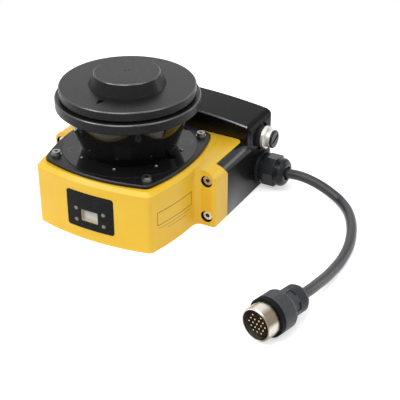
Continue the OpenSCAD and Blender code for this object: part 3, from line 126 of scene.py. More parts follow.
# %% Draw the cable
cable_curve = bpy.data.curves.new("cable_run", "CURVE")
cable_curve.dimensions = "3D"
cable_curve.bevel_depth = 1.0
cable_curve.bevel_resolution = 6
cable_curve.use_fill_caps = True
spline = cable_curve.splines.new("POLY")
spline.points.add(len(cable_line) - 1)
for knot, p in zip(spline.points, cable_line):
    knot.co, knot.radius = (*(p * MM), 1), cable_r * MM
spline.use_smooth = True
cable_run = bpy.data.objects.new("cable_run", cable_curve)
bpy.context.scene.collection.objects.link(cable_run)
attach(cable_run, "housing")
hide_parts("cable")
print("cable drawn with", len(spline.points), "points")

# %% [markdown]
# ## A small kit for finishes
# Blender's materials are graphs of nodes, and sums are easier to read as sums. Wire wraps one
# output socket, and Python's own operators add the Math nodes: 1 - mask works because the
# reflected forms are there too. Finish holds one material, and its make method adds any other
# node: settings first, then values or wires.

# %% Wire and Finish


class Wire:
    """One output socket that +, -, *, / and ** can work on."""

    def __init__(self, finish, socket):
        self.finish, self.socket = finish, socket

    def _sum(self, operation, *values):
        return self.finish.make("ShaderNodeMath", {"operation": operation}, dict(enumerate(values)))

    def __add__(self, other): return self._sum("ADD", self, other)
    def __radd__(self, other): return self._sum("ADD", other, self)
    def __sub__(self, other): return self._sum("SUBTRACT", self, other)
    def __rsub__(self, other): return self._sum("SUBTRACT", other, self)
    def __mul__(self, other): return self._sum("MULTIPLY", self, other)
    def __rmul__(self, other): return self._sum("MULTIPLY", other, self)
    def __truediv__(self, other): return self._sum("DIVIDE", self, other)
    def __rtruediv__(self, other): return self._sum("DIVIDE", other, self)
    def __pow__(self, other): return self._sum("POWER", self, other)
    def __gt__(self, other): return self._sum("GREATER_THAN", self, other)
    def __lt__(self, other): return self._sum("LESS_THAN", self, other)


class Finish:
    """One material being built."""

    def __init__(self, name, owner=None):
        self.material = owner or bpy.data.materials.new(name)
        self.material.use_nodes = True
        self.tree = self.material.node_tree
        self.tree.nodes.clear()

    def make(self, kind, settings=None, inputs=None, take=0):
        """Any node: type, settings, the values or wires of its sockets, and the output to take."""
        node = self.tree.nodes.new(kind)
        for key, value in (settings or {}).items():
            setattr(node, key, value)
        for key, value in (inputs or {}).items():
            if isinstance(value, Wire):
                self.tree.links.new(value.socket, node.inputs[key])
            else:
                node.inputs[key].default_value = value
        return Wire(self, node.outputs[take]) if node.outputs else node

    def place(self):
        """Where a point lies on the unmoved unit, in metres."""
        return self.make("ShaderNodeTexCoord", take="Object")

    def grain(self, size, detail=2.0, rough=0.5, at=None):
        """Soft noise whose features are about size millimetres across."""
        return self.make("ShaderNodeTexNoise", {"noise_dimensions": "3D"}, {
            "Vector": at or self.place(), "Scale": 1000 / size, "Detail": detail,
            "Roughness": rough})

    def spread(self, value, low, high, to_low=0.0, to_high=1.0):
        """Stretches low..high to to_low..to_high and clips the rest."""
        return self.make("ShaderNodeMapRange", {"clamp": True}, {
            "Value": value, "From Min": low, "From Max": high, "To Min": to_low, "To Max": to_high})

    def blend(self, mask, first, second):
        """Mixes two colours by a mask."""
        return self.make("ShaderNodeMix", {"data_type": "RGBA"}, {0: mask, 6: first, 7: second},
                         take=2)

    def larger(self, first, second):
        """The larger of two values."""
        return self.make("ShaderNodeMath", {"operation": "MAXIMUM"}, {0: first, 1: second})

    def size_of(self, value):
        """A value without its sign."""
        return self.make("ShaderNodeMath", {"operation": "ABSOLUTE"}, {0: value})

    def relief(self, height, depth):
        """A bump from a height map, its full depth in millimetres."""
        return self.make("ShaderNodeBump", {}, {
            "Height": height, "Strength": 1.0, "Distance": depth * MM})

    def done(self, **sockets):
        """Joins everything to the surface shader and returns the material."""
        names = {key.replace("_", " "): value for key, value in sockets.items()}
        surface = self.make("ShaderNodeBsdfPrincipled", {}, names)
        self.make("ShaderNodeOutputMaterial", {}, {"Surface": surface})
        return self.material


# %% Colours and dressing


def rgb(r, g, b):
    """A colour with full cover."""
    return (r, g, b, 1.0)


def dress(material, *nodes):
    """Gives one finish to CAD nodes."""
    for name in nodes:
        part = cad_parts[name]
        part.data.materials.clear()
        part.data.materials.append(material)


print("kit ready")

# %% [markdown]
# ## Places on the unit
# Several finishes change only near a certain screw or on a certain wall. Painted masks would
# need unwrapped surfaces; the place of a point on the unmoved unit is always at hand, so each
# mask is a small sum of coordinates.

# %% Places on the unit
ear_screw_x, ear_screw_heights, flange_screw_at = 60, (7.3, 35), 36.25


def apart(f, *axes):
    """The named coordinates of a point, in millimetres."""
    split = f.make("ShaderNodeSeparateXYZ", {}, {"Vector": f.place()})
    return [Wire(f, split.socket.node.outputs[axis]) * 1000 for axis in axes]


def near_ear_screws(f, reach):
    """1 within reach millimetres of the axis of any of the four ear screws."""
    x, z = apart(f, "X", "Z")
    wide = f.size_of(x) - ear_screw_x
    hits = [(wide ** 2 + (z - height) ** 2) < reach * reach for height in ear_screw_heights]
    return f.larger(*hits)


print("ear screws at x", ear_screw_x, "and z", ear_screw_heights)
print("flange screws at x and y", flange_screw_at)

# %% [markdown]
# ## Studio
# The unit stands on a plain white sweep, lit by six soft lamps. The key is high on the left and
# gives the front its warmth. A weak one behind the unit lies where the flat tops look, so they
# turn a soft grey, and a small one at the rear right draws a sheen along the block's round
# shoulder. One at the front and one at the side run along the bends and fill the yellow flank,
# and one overhead lifts the whole.
#
# A white surround would flood dark, shiny parts with light, so the world stays a quiet grey for
# light and shows as white only to the camera, to mirrors and through glass. The floor does the
# same trick and keeps the soft shadow.

# %% Lamps


def soft_lamp(name, place, aim, size, power):
    """A square area lamp at place, turned to face aim."""
    data = bpy.data.lights.new(name, "AREA")
    data.shape, data.size, data.energy = "SQUARE", size, power
    lamp = bpy.data.objects.new(name, data)
    bpy.context.scene.collection.objects.link(lamp)
    lamp.location = place
    lamp.rotation_euler = (Vector(aim) - Vector(place)).to_track_quat("-Z", "Y").to_euler()
    return lamp


lamps = [
    soft_lamp("key_lamp", (-0.72, -0.92, 1.28), (0.03, 0, 0.04), size=0.6, power=9.6),
    soft_lamp("sweep_lamp", (-0.45, 0.86, 0.65), (0.03, 0, 0.06), size=0.9, power=1.2),
    soft_lamp("rear_lamp", (0.74, 0.86, 0.24), (0.06, 0.03, 0.04), size=0.3, power=0.9),
    soft_lamp("front_lamp", (0.16, -0.76, 1.24), (0.03, 0, 0.05), size=0.7, power=6.5),
    soft_lamp("side_lamp", (1.05, -0.05, 1.15), (0.05, 0, 0.04), size=0.7, power=3.6),
    soft_lamp("top_lamp", (0.05, 0.10, 1.50), (0.03, 0, 0.05), size=0.8, power=3.5),
]
print("lamps:", [(lamp.name, round(lamp.data.energy, 1)) for lamp in lamps])

# %% World
room_light = 0.42
scene = bpy.context.scene
scene.view_settings.view_transform = "Standard"
scene.world = bpy.data.worlds.new("studio_world")
sky = Finish("sky", scene.world)


def seen_only(f):
    """1 for rays from the camera, from mirrors and through glass, and 0 for the light itself."""
    kinds = ("Is Camera Ray", "Is Glossy Ray", "Is Transmission Ray")
    camera_ray, glossy_ray, glass_ray = (f.make("ShaderNodeLightPath", take=kind) for kind in kinds)
    return f.larger(f.larger(camera_ray, glossy_ray), glass_ray)


room = sky.make("ShaderNodeBackground", {}, {"Color": rgb(0.9, 0.92, 0.95), "Strength": room_light})
bright = sky.make("ShaderNodeBackground", {}, {"Color": rgb(1, 1, 1), "Strength": 1.0})
seen = sky.make("ShaderNodeMixShader", {}, {0: seen_only(sky), 1: room, 2: bright})
sky.make("ShaderNodeOutputWorld", {}, {"Surface": seen})
print("world nodes:", len(sky.tree.nodes))

# %% [markdown]
# ## Floor
# A studio would hang a long curved backdrop here. The floor is a plain sheet just wide enough
# for the shadow and the bounced light instead, because beyond it the world is as white. Its own
# colour is a pale grey that takes the shadow; to the camera and to shiny parts, the lit part of
# it is lifted to the white of the sweep.

# %% Floor
floor_grey, floor_glow = 0.86, 0.52
floor_mesh = bpy.data.meshes.new("studio_floor")
half, middle = 0.36, Vector((0.05, 0, 0))
corner_signs = ((-1, -1), (1, -1), (1, 1), (-1, 1))
floor_corners = [middle + Vector((sx * half, sy * half, 0)) for sx, sy in corner_signs]
floor_mesh.from_pydata(floor_corners, [], [(0, 1, 2, 3)])
studio_floor = bpy.data.objects.new("studio_floor", floor_mesh)
scene.collection.objects.link(studio_floor)
sweep = Finish("sweep_white")
lit = sweep.make("ShaderNodeBsdfDiffuse", {}, {"Color": rgb(floor_grey, floor_grey, floor_grey)})
glow = sweep.make("ShaderNodeEmission", {}, {"Color": rgb(1, 1, 1), "Strength": floor_glow})
lifted = sweep.make("ShaderNodeAddShader", {}, {0: lit, 1: glow})
mixed = sweep.make("ShaderNodeMixShader", {}, {0: seen_only(sweep), 1: lit, 2: lifted})
sweep.make("ShaderNodeOutputMaterial", {}, {"Surface": mixed})
floor_mesh.materials.append(sweep.material)
print("floor half width", half)

# %% [markdown]
# ## Powder-coated castings
# The head and the connection block are aluminium castings with a baked powder coat. Close up,
# such a coat is never flat: it flows into tiny waves called orange peel, and its gloss wanders
# a little. Real displacement would be far too heavy for waves of a tenth of a millimetre, so a
# fine noise goes to a bump, and a slower noise shifts the colour and the roughness.

# %% Powder coat


def powder_coat(f, colour, deeper, gloss, peel, shine, film=0.0):
    """A baked coat with a clear film.

    The colour wanders to deeper, the roughness round gloss, and the waves are peel mm high.
    """
    slow = f.spread(f.grain(22, 3), 0.35, 0.65)
    fine = f.grain(0.9, 2, 0.6)
    waves = f.grain(1.6, 2, 0.5)
    coat = f.blend(slow * 0.6 + fine * 0.25, colour, deeper)
    return f.done(Base_Color=coat, Roughness=gloss + 0.05 * slow + 0.04 * fine,
                  Normal=f.relief(waves, peel), Specular_IOR_Level=shine,
                  Coat_Weight=film, Coat_Roughness=0.2)


def inside(value, low, high):
    """1 where a value lies between two limits, else 0."""
    return (value > low) * (value < high)


print("powder coat ready")

# %% [markdown]
# ## The yellow coat and what is on it
# The unit's right flank carries a printed frame with two fine rules below it, in brown ink and
# left empty here. A printed mark could be an image, but plain yes-or-no areas worked out from
# the place of a point keep their edges crisp at any size. The print leans back slightly with
# the flank, so its height is measured along a sloped line. The counterbores of the ear screws
# are darkened in the same way: that is painted shade for the shadow inside those recesses.

# %% Yellow coat
print_front, print_back = -41.4, -4.2
print_low, print_high, line_thick = 18.4, 28.6, 0.55
print_lean, lean_from, flank_x = 0.0207, -23, 40
rule_thick, rule_ink, print_ink = 0.5, 0.7, 0.95
rules = [(print_front + 1.6, print_back - 2.0, 15.6), (print_front + 9.8, print_back - 7.2, 13.2)]
counterbore_r = 4.36

f = Finish("signal_yellow_coat")
x, y, z = apart(f, "X", "Y", "Z")
rise = z + print_lean * (y - lean_from)
outer = inside(y, print_front, print_back) * inside(rise, print_low, print_high)
inner = (inside(y, print_front + line_thick, print_back - line_thick)
         * inside(rise, print_low + line_thick, print_high - line_thick))
long_rule, short_rule = (inside(y, front, back) * inside(rise, low, low + rule_thick)
                         for front, back, low in rules)
printed = ((outer - inner) + (long_rule + short_rule) * rule_ink) * (x > flank_x) * print_ink
# Painted shade: the counterbores round the ear screws are coloured near black for their shadow.
shaded_counterbores = near_ear_screws(f, counterbore_r)
ink, counterbore_painted_shade = rgb(0.060, 0.042, 0.016), rgb(0.020, 0.013, 0.005)
tones = [f.blend(shaded_counterbores, f.blend(printed, tone, ink), counterbore_painted_shade)
         for tone in (rgb(0.89, 0.55, 0.026), rgb(0.84, 0.50, 0.022))]
yellow_coat = powder_coat(f, *tones, gloss=0.34, peel=0.02, shine=0.45)
dress(yellow_coat, "base_housing")
print("print frame mm:", round(print_back - print_front, 1), "by", round(print_high - print_low, 1))

# %% [markdown]
# ## The black coat
# Low on the block's cheeks the coat has flowed out thicker and glossier, and again along the
# round shoulder above them. A second, clear layer shows that best: the shader's coat grows
# there and picks up the pale floor. Each area fades out softly, so it is made of stretched
# coordinates that are multiplied together.

# %% Black coat
cheek_x, cheek_top, cheek_foot, cheek_back, cheek_front = 60, 36, 2, 74, 30
cheek_fade, cheek_film, shoulder_film = 1.7, 1.25, 0.7

f = Finish("black_coat")
x, y, z = apart(f, "X", "Y", "Z")
down_and_forward = f.spread(z, cheek_top, cheek_foot) * f.spread(y, cheek_back, cheek_front)
low_cheek = down_and_forward ** cheek_fade * cheek_film * (x > cheek_x)
shoulder = f.spread(z, 34, 40) * f.spread(z, 50, 44) * f.spread(y, 62, 54) * shoulder_film
blacks = rgb(0.005, 0.005, 0.0055), rgb(0.008, 0.008, 0.009)
black_coat = powder_coat(f, *blacks, gloss=0.24, peel=0.008, shine=0.05,
                         film=f.larger(low_cheek, shoulder))
dress(black_coat, "io_block", "io_cover")
print("castings dressed")

# %% [markdown]
# ## Moulded black plastic
# The cap, the ring and the flange are moulded in spark-eroded tools, which leave a very fine
# matt grain. Two noises of different size, one multiplied into the other, give the uneven
# speckle of that grain. The flange's bevels are painted a little paler and warmer than its
# flats as a painted highlight, chosen by the slope of the surface, so its edge is picked out.

# %% Grained plastic


def grained_plastic(name, colour, gloss, grain_size, depth, shine=0.25, edge=None):
    """Moulded plastic with a spark-eroded grain, and a paler colour painted on its bevels as a
    highlight.
    """
    f = Finish(name)
    coarse = f.grain(grain_size * 3, 2, 0.6)
    fine = f.grain(grain_size, 3, 0.7)
    speck = f.spread(fine * coarse, 0.18, 0.36)
    bright = tuple(min(1, c * 1.5 + 0.004) for c in colour)
    tone = f.blend(speck, rgb(*colour), rgb(*bright))
    if edge:
        facing = f.make("ShaderNodeNewGeometry", take="Normal")
        slope = f.make("ShaderNodeSeparateXYZ", {}, {"Vector": facing}, take="Z")
        tone = f.blend(inside(slope, 0.3, 0.93), tone, rgb(*edge))
    return f.done(Base_Color=tone, Roughness=f.spread(speck, 0, 1, gloss + 0.05, gloss - 0.03),
                  Normal=f.relief(speck, depth), Specular_IOR_Level=shine)


mould_black = (0.006, 0.006, 0.007)
cap_plastic = grained_plastic("cap_grain", mould_black, gloss=0.30, grain_size=0.35,
                              depth=0.006, shine=0.15)
# The flange's paler bevel colour is a painted highlight.
flange_plastic = grained_plastic("flange_grain", mould_black, gloss=0.28, grain_size=0.4,
                                 depth=0.006, shine=0.16, edge=(0.045, 0.036, 0.030))
gland_plastic = grained_plastic("gland_grain", (0.008, 0.009, 0.011), gloss=0.22, grain_size=0.5,
                                depth=0.004, shine=0.2)
plug_plastic = grained_plastic("plug_grain", (0.031, 0.032, 0.037), gloss=0.42, grain_size=0.5,
                               depth=0.01, shine=0.35)
clamp_plastic = grained_plastic("clamp_grain", (0.015, 0.016, 0.019), gloss=0.42, grain_size=0.5,
                                depth=0.01, shine=0.25)
dress(cap_plastic, "top_cap", "head_frame")
dress(flange_plastic, "flange_plate")
dress(gland_plastic, "gland_body", "gland_locknut", "gland_nut", "socket_cap")
dress(plug_plastic, "plug_body")
dress(clamp_plastic, "plug_clamp_nut")
print("mouldings dressed")

# %% [markdown]
# ## Scan window
# The window is dyed so dark that it looks black, yet infrared light passes. A glass shader
# would bend and tint light that never comes back out of so dark a dye, so an opaque polish does
# the same for less. Its surface is polished like a lens and is a near-mirror for what stands
# round it; only a faint flow pattern breaks the reflection.

# %% Window
f = Finish("window_polish")
flow = f.spread(f.grain(30, 2), 0.3, 0.7)
window_polish = f.done(Base_Color=f.blend(flow, rgb(0.006, 0.006, 0.007), rgb(0.010, 0.009, 0.009)),
                       Roughness=f.spread(flow, 0, 1, 0.05, 0.09),
                       Normal=f.relief(f.grain(9, 1), 0.01), Specular_IOR_Level=0.22)
dress(window_polish, "scan_window")
print("window dressed")

# %% [markdown]
# ## Rubber and cable jacket
# Seals are dull and slightly dusty, and the ring on the plug is duller still. The cable's
# jacket is smoother: it is drawn through a die, and it shines softly along its upper side. One
# recipe serves all three.

# %% Rubber


def rubber(name, colour, gloss, grain_size=0.5, shine=0.3):
    """Dull elastomer with a fine uneven skin."""
    f = Finish(name)
    dust = f.spread(f.grain(6, 4, 0.6), 0.4, 0.7)
    skin = f.grain(grain_size, 2)
    dusty = tuple(c * 1.35 + 0.003 for c in colour)
    return f.done(Base_Color=f.blend(dust, rgb(*colour), rgb(*dusty)),
                  Roughness=gloss + 0.08 * dust, Normal=f.relief(skin, 0.008),
                  Specular_IOR_Level=shine)


grip_rubber = rubber("grip_rubber", (0.003, 0.003, 0.003), gloss=0.6, shine=0.1)
seal_rubber = rubber("seal_rubber", (0.012, 0.012, 0.012), gloss=0.55)
jacket = rubber("cable_jacket", (0.019, 0.020, 0.023), gloss=0.34, grain_size=0.7, shine=0.45)
dress(grip_rubber, "plug_ring")
dress(seal_rubber, "window_gasket", "cap_seal", "block_gasket", "gland_seal", "gland_grommet",
      "socket_seal")
cable_curve.materials.append(jacket)
print("rubbers dressed")

# %% [markdown]
# ## Metals
# Screws are stainless steel with turning marks; the socket is matt nickel over brass and the
# plug's shell a smoother one, both a little warm; the contacts are gold. One recipe with a
# grain that is stretched along one axis covers them all, because brushing and turning differ
# only in direction and depth. Some carry painted light: the key sockets are painted black as
# painted shade, for no light gets out of them, and the plug's shell has a painted brown
# reflection on its outer side.

# %% Bright metal


def bright_metal(name, colour, gloss, stretch, depth=0.006, painted_mask=None,
                 painted_colour=(0.012, 0.011, 0.010)):
    """Bare or plated metal with fine marks, stretched by a factor along each axis, and an optional
    colour painted over a mask, for painted shade and painted reflections.
    """
    f = Finish(name)
    at = f.make("ShaderNodeVectorMath", {"operation": "MULTIPLY"}, {0: f.place(), 1: stretch},
                take="Vector")
    marks = f.grain(0.5, 3, 0.6, at)
    tarnish = f.spread(f.grain(4, 3), 0.35, 0.7)
    darker = tuple(c * 0.86 for c in colour)
    metal = f.blend(tarnish, rgb(*colour), rgb(*darker))
    if painted_mask:
        metal = f.blend(painted_mask(f), metal, rgb(*painted_colour))
    return f.done(Base_Color=metal, Metallic=1.0,
                  Roughness=f.spread(marks, 0.3, 0.7, gloss - 0.04, gloss + 0.08),
                  Normal=f.relief(marks, depth))


print("bright metal ready")

# %% Painted shade and reflection on metals
ear_hex_r, flange_hex_r_squared = 1.5, 1.2
reflection_from, reflection_full, reflection_fade, reflection_end = 2.5, 5.5, 10.2, 10.9


def ear_sockets(f):
    """The hexagon sockets of the four ear screws, painted dark as painted shade."""
    return near_ear_screws(f, ear_hex_r)


def flange_sockets(f):
    """The hexagon sockets of the four flange screws, on a square about the scan axis, painted dark
    as painted shade.
    """
    x, y = (f.size_of(w) - flange_screw_at for w in apart(f, "X", "Y"))
    return (x ** 2 + y ** 2) < flange_hex_r_squared


def painted_reflection_side(f):
    """The side of the plug's shell where a brown reflection is painted on."""
    x, y = apart(f, "X", "Y")
    aside = (x - plug_face.x) * math.sin(plug_heading) - (y - plug_face.y) * math.cos(plug_heading)
    return f.spread(aside, reflection_from, reflection_full) * f.spread(aside, reflection_end, reflection_fade)


# These masks paint shade into the key sockets and a brown reflection onto the plug's shell.
print("stains ready: 3, the wear starts", reflection_from, "mm aside")

# %% Screws and fittings
turned, even, steel = (1, 1, 0.3), (1, 1, 1), (0.62, 0.57, 0.49)
screw_steel = bright_metal("screw_steel", steel, gloss=0.26, stretch=turned)
# The key sockets of these screws are painted dark as painted shade.
ear_steel = bright_metal("ear_screw_steel", steel, gloss=0.26, stretch=turned, depth=0.002,
                         painted_mask=ear_sockets)
dark_steel = bright_metal("dark_steel", (0.30, 0.285, 0.27), gloss=0.36, stretch=turned,
                          depth=0.002, painted_mask=flange_sockets)
nickel = bright_metal("nickel_plate", (0.66, 0.64, 0.60), gloss=0.42, stretch=(0.2, 1, 1),
                      depth=0.0004)
# The plug's shell gets a painted brown reflection on its outer side.
nickel_painted_reflection = bright_metal("nickel_painted_reflection", (0.66, 0.62, 0.56), gloss=0.30, stretch=even,
                           depth=0.0003, painted_mask=painted_reflection_side, painted_colour=(0.24, 0.20, 0.15))
gold = bright_metal("gold_contact", (0.80, 0.62, 0.34), gloss=0.22, stretch=even)
dress(ear_steel, "ear_screws")
dress(screw_steel, "cap_screws", "motor_screws", "board_screws", "io_cover_screws")
dress(dark_steel, "flange_screws", "flange_washers", "encoder_disc")
dress(nickel, "socket_shell", "socket_nut", "board_standoffs")
dress(nickel_painted_reflection, "plug_shell")
dress(gold, "plug_pins")
print("screws and fittings dressed")

# %% Motor and optics
lathe = (1, 1, 0.2)
bearing = bright_metal("bearing_steel", (0.62, 0.62, 0.63), gloss=0.2, stretch=turned)
machined = bright_metal("machined_aluminium", (0.70, 0.71, 0.73), gloss=0.32, stretch=lathe)
brass_tube = bright_metal("turned_brass", (0.78, 0.57, 0.26), gloss=0.28, stretch=lathe)
copper = bright_metal("winding_copper", (0.72, 0.34, 0.16), gloss=0.35, stretch=(1, 1, 0.15),
                      depth=0.03)
black_anodised = bright_metal("black_anodised", (0.045, 0.046, 0.05), gloss=0.35, stretch=turned)
mirror_coat = bright_metal("mirror_coat", (0.88, 0.89, 0.90), gloss=0.06, stretch=even,
                           depth=0.001)
dress(bearing, "rotor_shaft", "motor_bearings", "laser_diode")
dress(machined, "motor_base", "rotor_bell")
dress(brass_tube, "laser_tube")
dress(copper, "motor_stator")
dress(black_anodised, "lens_barrel")
dress(mirror_coat, "scan_mirror")
print("motor and optics dressed")

# %% [markdown]
# ## Boards, inserts and small plastics
# A circuit board is green solder mask over copper tracks, which show as slightly lighter lines.
# A brick texture with thin mortar is a cheap stand-in for tracks, and only its mortar is used.

# %% Boards
f = Finish("solder_mask")
tracks = f.make("ShaderNodeTexBrick", {"offset": 0.35}, {
    "Vector": f.place(), "Scale": 260.0, "Mortar Size": 0.06, "Mortar Smooth": 0.2,
    "Bias": 0.0}, take="Fac")
fleck = f.grain(1.4, 2)
greens = rgb(0.010, 0.085, 0.040), rgb(0.03, 0.19, 0.09)
solder_mask = f.done(Base_Color=f.blend(tracks * 0.6 + fleck * 0.2, *greens),
                     Roughness=f.spread(fleck, 0.3, 0.7, 0.30, 0.42), Normal=f.relief(tracks, 0.03))
dress(solder_mask, "lamp_board", "detector_board", "main_board", "io_board", "display_board")
carrier = grained_plastic("carrier_grain", (0.05, 0.052, 0.056), gloss=0.5, grain_size=0.5,
                          depth=0.02)
insert_dark = grained_plastic("insert_grain", (0.005, 0.004, 0.0035), gloss=0.45, grain_size=0.5,
                              depth=0.01, shine=0.1)
dress(carrier, "mirror_drum", "encoder_sensor", "link_connector", "display_module")
dress(insert_dark, "socket_insert", "plug_insert")
print("boards dressed")

# %% [markdown]
# ## Front panel, display and lamps
# The panel is a polished black foil. The display behind its opening is a pale segment glass
# that is a little brighter towards the bottom, a painted shading that darkens it towards the top,
# and the four lamps are clear moulded lenses that look sandy when unlit. A lit display would need
# an emission, but this unit is off, so three plain surfaces with a slow cloud in each are enough.

# %% Panel and display
f = Finish("panel_foil")
smudge = f.spread(f.grain(7, 3), 0.4, 0.7)
panel_foil = f.done(Base_Color=f.blend(smudge, rgb(0.004, 0.004, 0.0045), rgb(0.008, 0.008, 0.009)),
                    Roughness=0.22 + 0.08 * smudge,
                    Normal=f.relief(f.grain(2.5, 1), 0.004), Specular_IOR_Level=0.1)
dress(panel_foil, "front_panel")

f = Finish("display_pane")
pane_low, pane_high = 14.5, 23.5
height, = apart(f, "Z")
# Painted shading: the pane darkens towards the top.
rise = f.spread(height, pane_low, pane_high)
cells = f.grain(0.6, 1)
display_pane = f.done(Base_Color=f.blend(rise, rgb(0.64, 0.64, 0.60), rgb(0.46, 0.47, 0.45)),
                      Roughness=0.16 + 0.05 * cells, Normal=f.relief(cells, 0.002))
dress(display_pane, "display_glass")
print("panel and display dressed")

# %% Lamp lenses and optics
f = Finish("lamp_lens")
milk = f.grain(0.7, 2)
lamp_lens = f.done(Base_Color=f.blend(milk, rgb(0.15, 0.135, 0.09), rgb(0.26, 0.24, 0.16)),
                   Roughness=0.2 + 0.1 * milk, Normal=f.relief(milk, 0.01))
dress(lamp_lens, "led_lenses")

f = Finish("coated_lens")
bloom = f.grain(18, 2)
coated_lens = f.done(Base_Color=f.blend(bloom, rgb(0.70, 0.78, 0.92), rgb(0.82, 0.78, 0.94)),
                     Roughness=f.spread(bloom, 0.3, 0.7, 0.02, 0.05),
                     Transmission_Weight=0.9, IOR=1.52)
dress(coated_lens, "receiver_lens", "laser_lens")
print("lenses dressed")

# %% [markdown]
# ## Rounded rims
# A moulded rim is never sharp: the tool leaves a small, smooth radius that gathers the light of
# every lamp into one thin bright line. The solid model has plain bevels there, so each rim gets
# a softly crowned band that lies a hair outside its bevel. A profile of a few points, turned in
# even steps about an axis, gives the whole ring. A full quarter round would show a thinner line
# than the real rim does, so the band bends through less.

# %% Turned pieces


def add_piece(name, corners, skins, material, body="housing", crease=40):
    """A piece from corners in millimetres, smooth but for edges sharper than crease degrees."""
    mesh = bpy.data.meshes.new(name)
    mesh.from_pydata([tuple(c * MM for c in corner) for corner in corners], [], skins)
    mesh.polygons.foreach_set("use_smooth", [True] * len(mesh.polygons))
    mesh.set_sharp_from_angle(angle=math.radians(crease))
    mesh.materials.append(material)
    mesh.update()
    piece = bpy.data.objects.new(name, mesh)
    scene.collection.objects.link(piece)
    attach(piece, body)
    return piece


def strip(here, there, n):
    """Faces that join the ring of n corners from here on to the ring from there on."""
    return [(here + k, there + k, there + (k + 1) % n, here + (k + 1) % n) for k in range(n)]


def turned_rings(outline, base=(0, 0, 0), axis=(0, 0, 1), steps=96):
    """Corners and faces of a closed outline of (radius, height) pairs, turned about an axis."""
    along = Vector(axis).normalized()
    side = along.orthogonal().normalized()
    other = along.cross(side)
    corners, skins, n = [], [], len(outline)
    for i in range(steps):
        a = 2 * math.pi * i / steps
        out = math.cos(a) * side + math.sin(a) * other
        corners += [tuple(Vector(base) + r * out + h * along) for r, h in outline]
        skins += strip(i * n, (i + 1) % steps * n, n)
    return corners, skins


def crowned(bend, half, proud):
    """Seven points of a shallow arc over a 45 degree bevel, and the bevel's inner corner.

    The points are (across, up) from the sharp corner. The bevel is bend wide, the arc turns half
    degrees each way, and its middle stands proud of the bevel.
    """
    arc_r = bend / 2 ** 0.5 / math.sin(math.radians(half))
    centre = -bend / 2 - (arc_r * math.cos(math.radians(half)) - proud) / 2 ** 0.5
    angles = [math.radians(45 - half + 2 * half * k / 6) for k in range(7)]
    arc = [(centre + arc_r * math.cos(a), centre + arc_r * math.sin(a)) for a in angles]
    return arc + [(-bend, -bend)]


print("piece makers ready")

# %% Rims of the cap
f = Finish("smooth_rim")
wander = f.grain(5, 2)
rim_plastic = f.done(Base_Color=f.blend(wander, rgb(0.010, 0.010, 0.011), rgb(0.016, 0.016, 0.017)),
                     Roughness=0.22 + 0.08 * wander, Specular_IOR_Level=1.0,
                     Normal=f.relief(f.grain(0.5, 2), 0.002))
hub_top, disc_top, ring_top = 104.5, 95.75, 88.2
rims = (("hub_rim", 22.6, hub_top), ("disc_rim", 46.55, disc_top), ("ring_rim", 49.55, ring_top))
for name, radius, top in rims:
    band = crowned(bend=0.8, half=18, proud=0.02)
    outline = [(radius + across, top + up) for across, up in band]
    rim = add_piece(name, *turned_rings(outline, steps=160), rim_plastic, crease=30)
    print(name, len(rim.data.polygons), "faces")

# %% [markdown]
# ## Front edge of the beam
# The connection block's roof is very slightly crowned, so the band along its front edge follows
# a wide arc from side to side instead of a circle. The band is coloured paler than the coat as a
# painted highlight, and the edge shines more than the flats. The same crowned section is set
# at even steps across, each at the roof's own height.

# %% Edge gloss
f = Finish("beam_edge_gloss")
wander = f.grain(6, 2)
# The paler base colour paints the highlight along the edge.
edge_highlight_coat = f.done(Base_Color=f.blend(wander, rgb(0.09, 0.09, 0.09), rgb(0.13, 0.13, 0.13)),
                   Roughness=0.24 + 0.06 * wander, Specular_IOR_Level=1.0,
                   Coat_Weight=1.0, Coat_Roughness=0.25, Normal=f.relief(wander, 0.002))
print("edge gloss ready")

# %% Beam edge
crown_r, crown_z, beam_front_y, beam_bevel = 460, 58.6, 53.8, 0.9
edge_half, edge_steps = 63.5, 40
section = crowned(bend=beam_bevel, half=9, proud=0.03)
n = len(section)
edge_corners, edge_skins = [], []
for i in range(edge_steps + 1):
    x = -edge_half + 2 * edge_half * i / edge_steps
    roof = crown_z - crown_r + math.sqrt(crown_r ** 2 - x * x)
    edge_corners += [(x, beam_front_y - across, roof + up) for across, up in section]
for i in range(edge_steps):
    edge_skins += strip(i * n, (i + 1) * n, n)
last = edge_steps * n
edge_skins += [tuple(range(n)), tuple(last + k for k in range(n))[::-1]]
add_piece("beam_edge", edge_corners, edge_skins, edge_highlight_coat, crease=30)
print("beam edge faces:", len(edge_skins))

# %% [markdown]
# ## Marks on the cap
# A small sunk arrow near the front rim shows the middle of the scan, and two ejector pins left
# dots on the hub. They could be cut out of the cap with a boolean, but all three are only a
# tenth of a millimetre deep, so each is drawn as a thin dark inlay and the cap's own mesh stays
# whole. The inlay's near-black colour is painted shade for the shadow in the sunk marks.

# %% Arrow and ejector marks
# Near black: painted shade for the shadow inside the sunk arrow and dots.
f = Finish("sunk_mark")
speck = f.grain(0.4, 2)
sunk_mark = f.done(Base_Color=f.blend(speck, rgb(0.0004, 0.0004, 0.0004), rgb(0.002, 0.002, 0.002)),
                   Roughness=0.6 + 0.2 * speck, Specular_IOR_Level=0.02)


def flat_inlay(name, points, low, high, material):
    """A flat plate with the outline points, between two heights."""
    n = len(points)
    corners = [(x, y, z) for z in (low, high) for x, y in points]
    skins = [(k, (k + 1) % n, n + (k + 1) % n, n + k) for k in range(n)]
    skins += [tuple(range(n))[::-1], tuple(range(n, 2 * n))]
    return add_piece(name, corners, skins, material, crease=20)


def round_outline(x, y, radius, count):
    """Points on a circle."""
    turns = [2 * math.pi * k / count for k in range(count)]
    return [(x + radius * math.cos(a), y + radius * math.sin(a)) for a in turns]


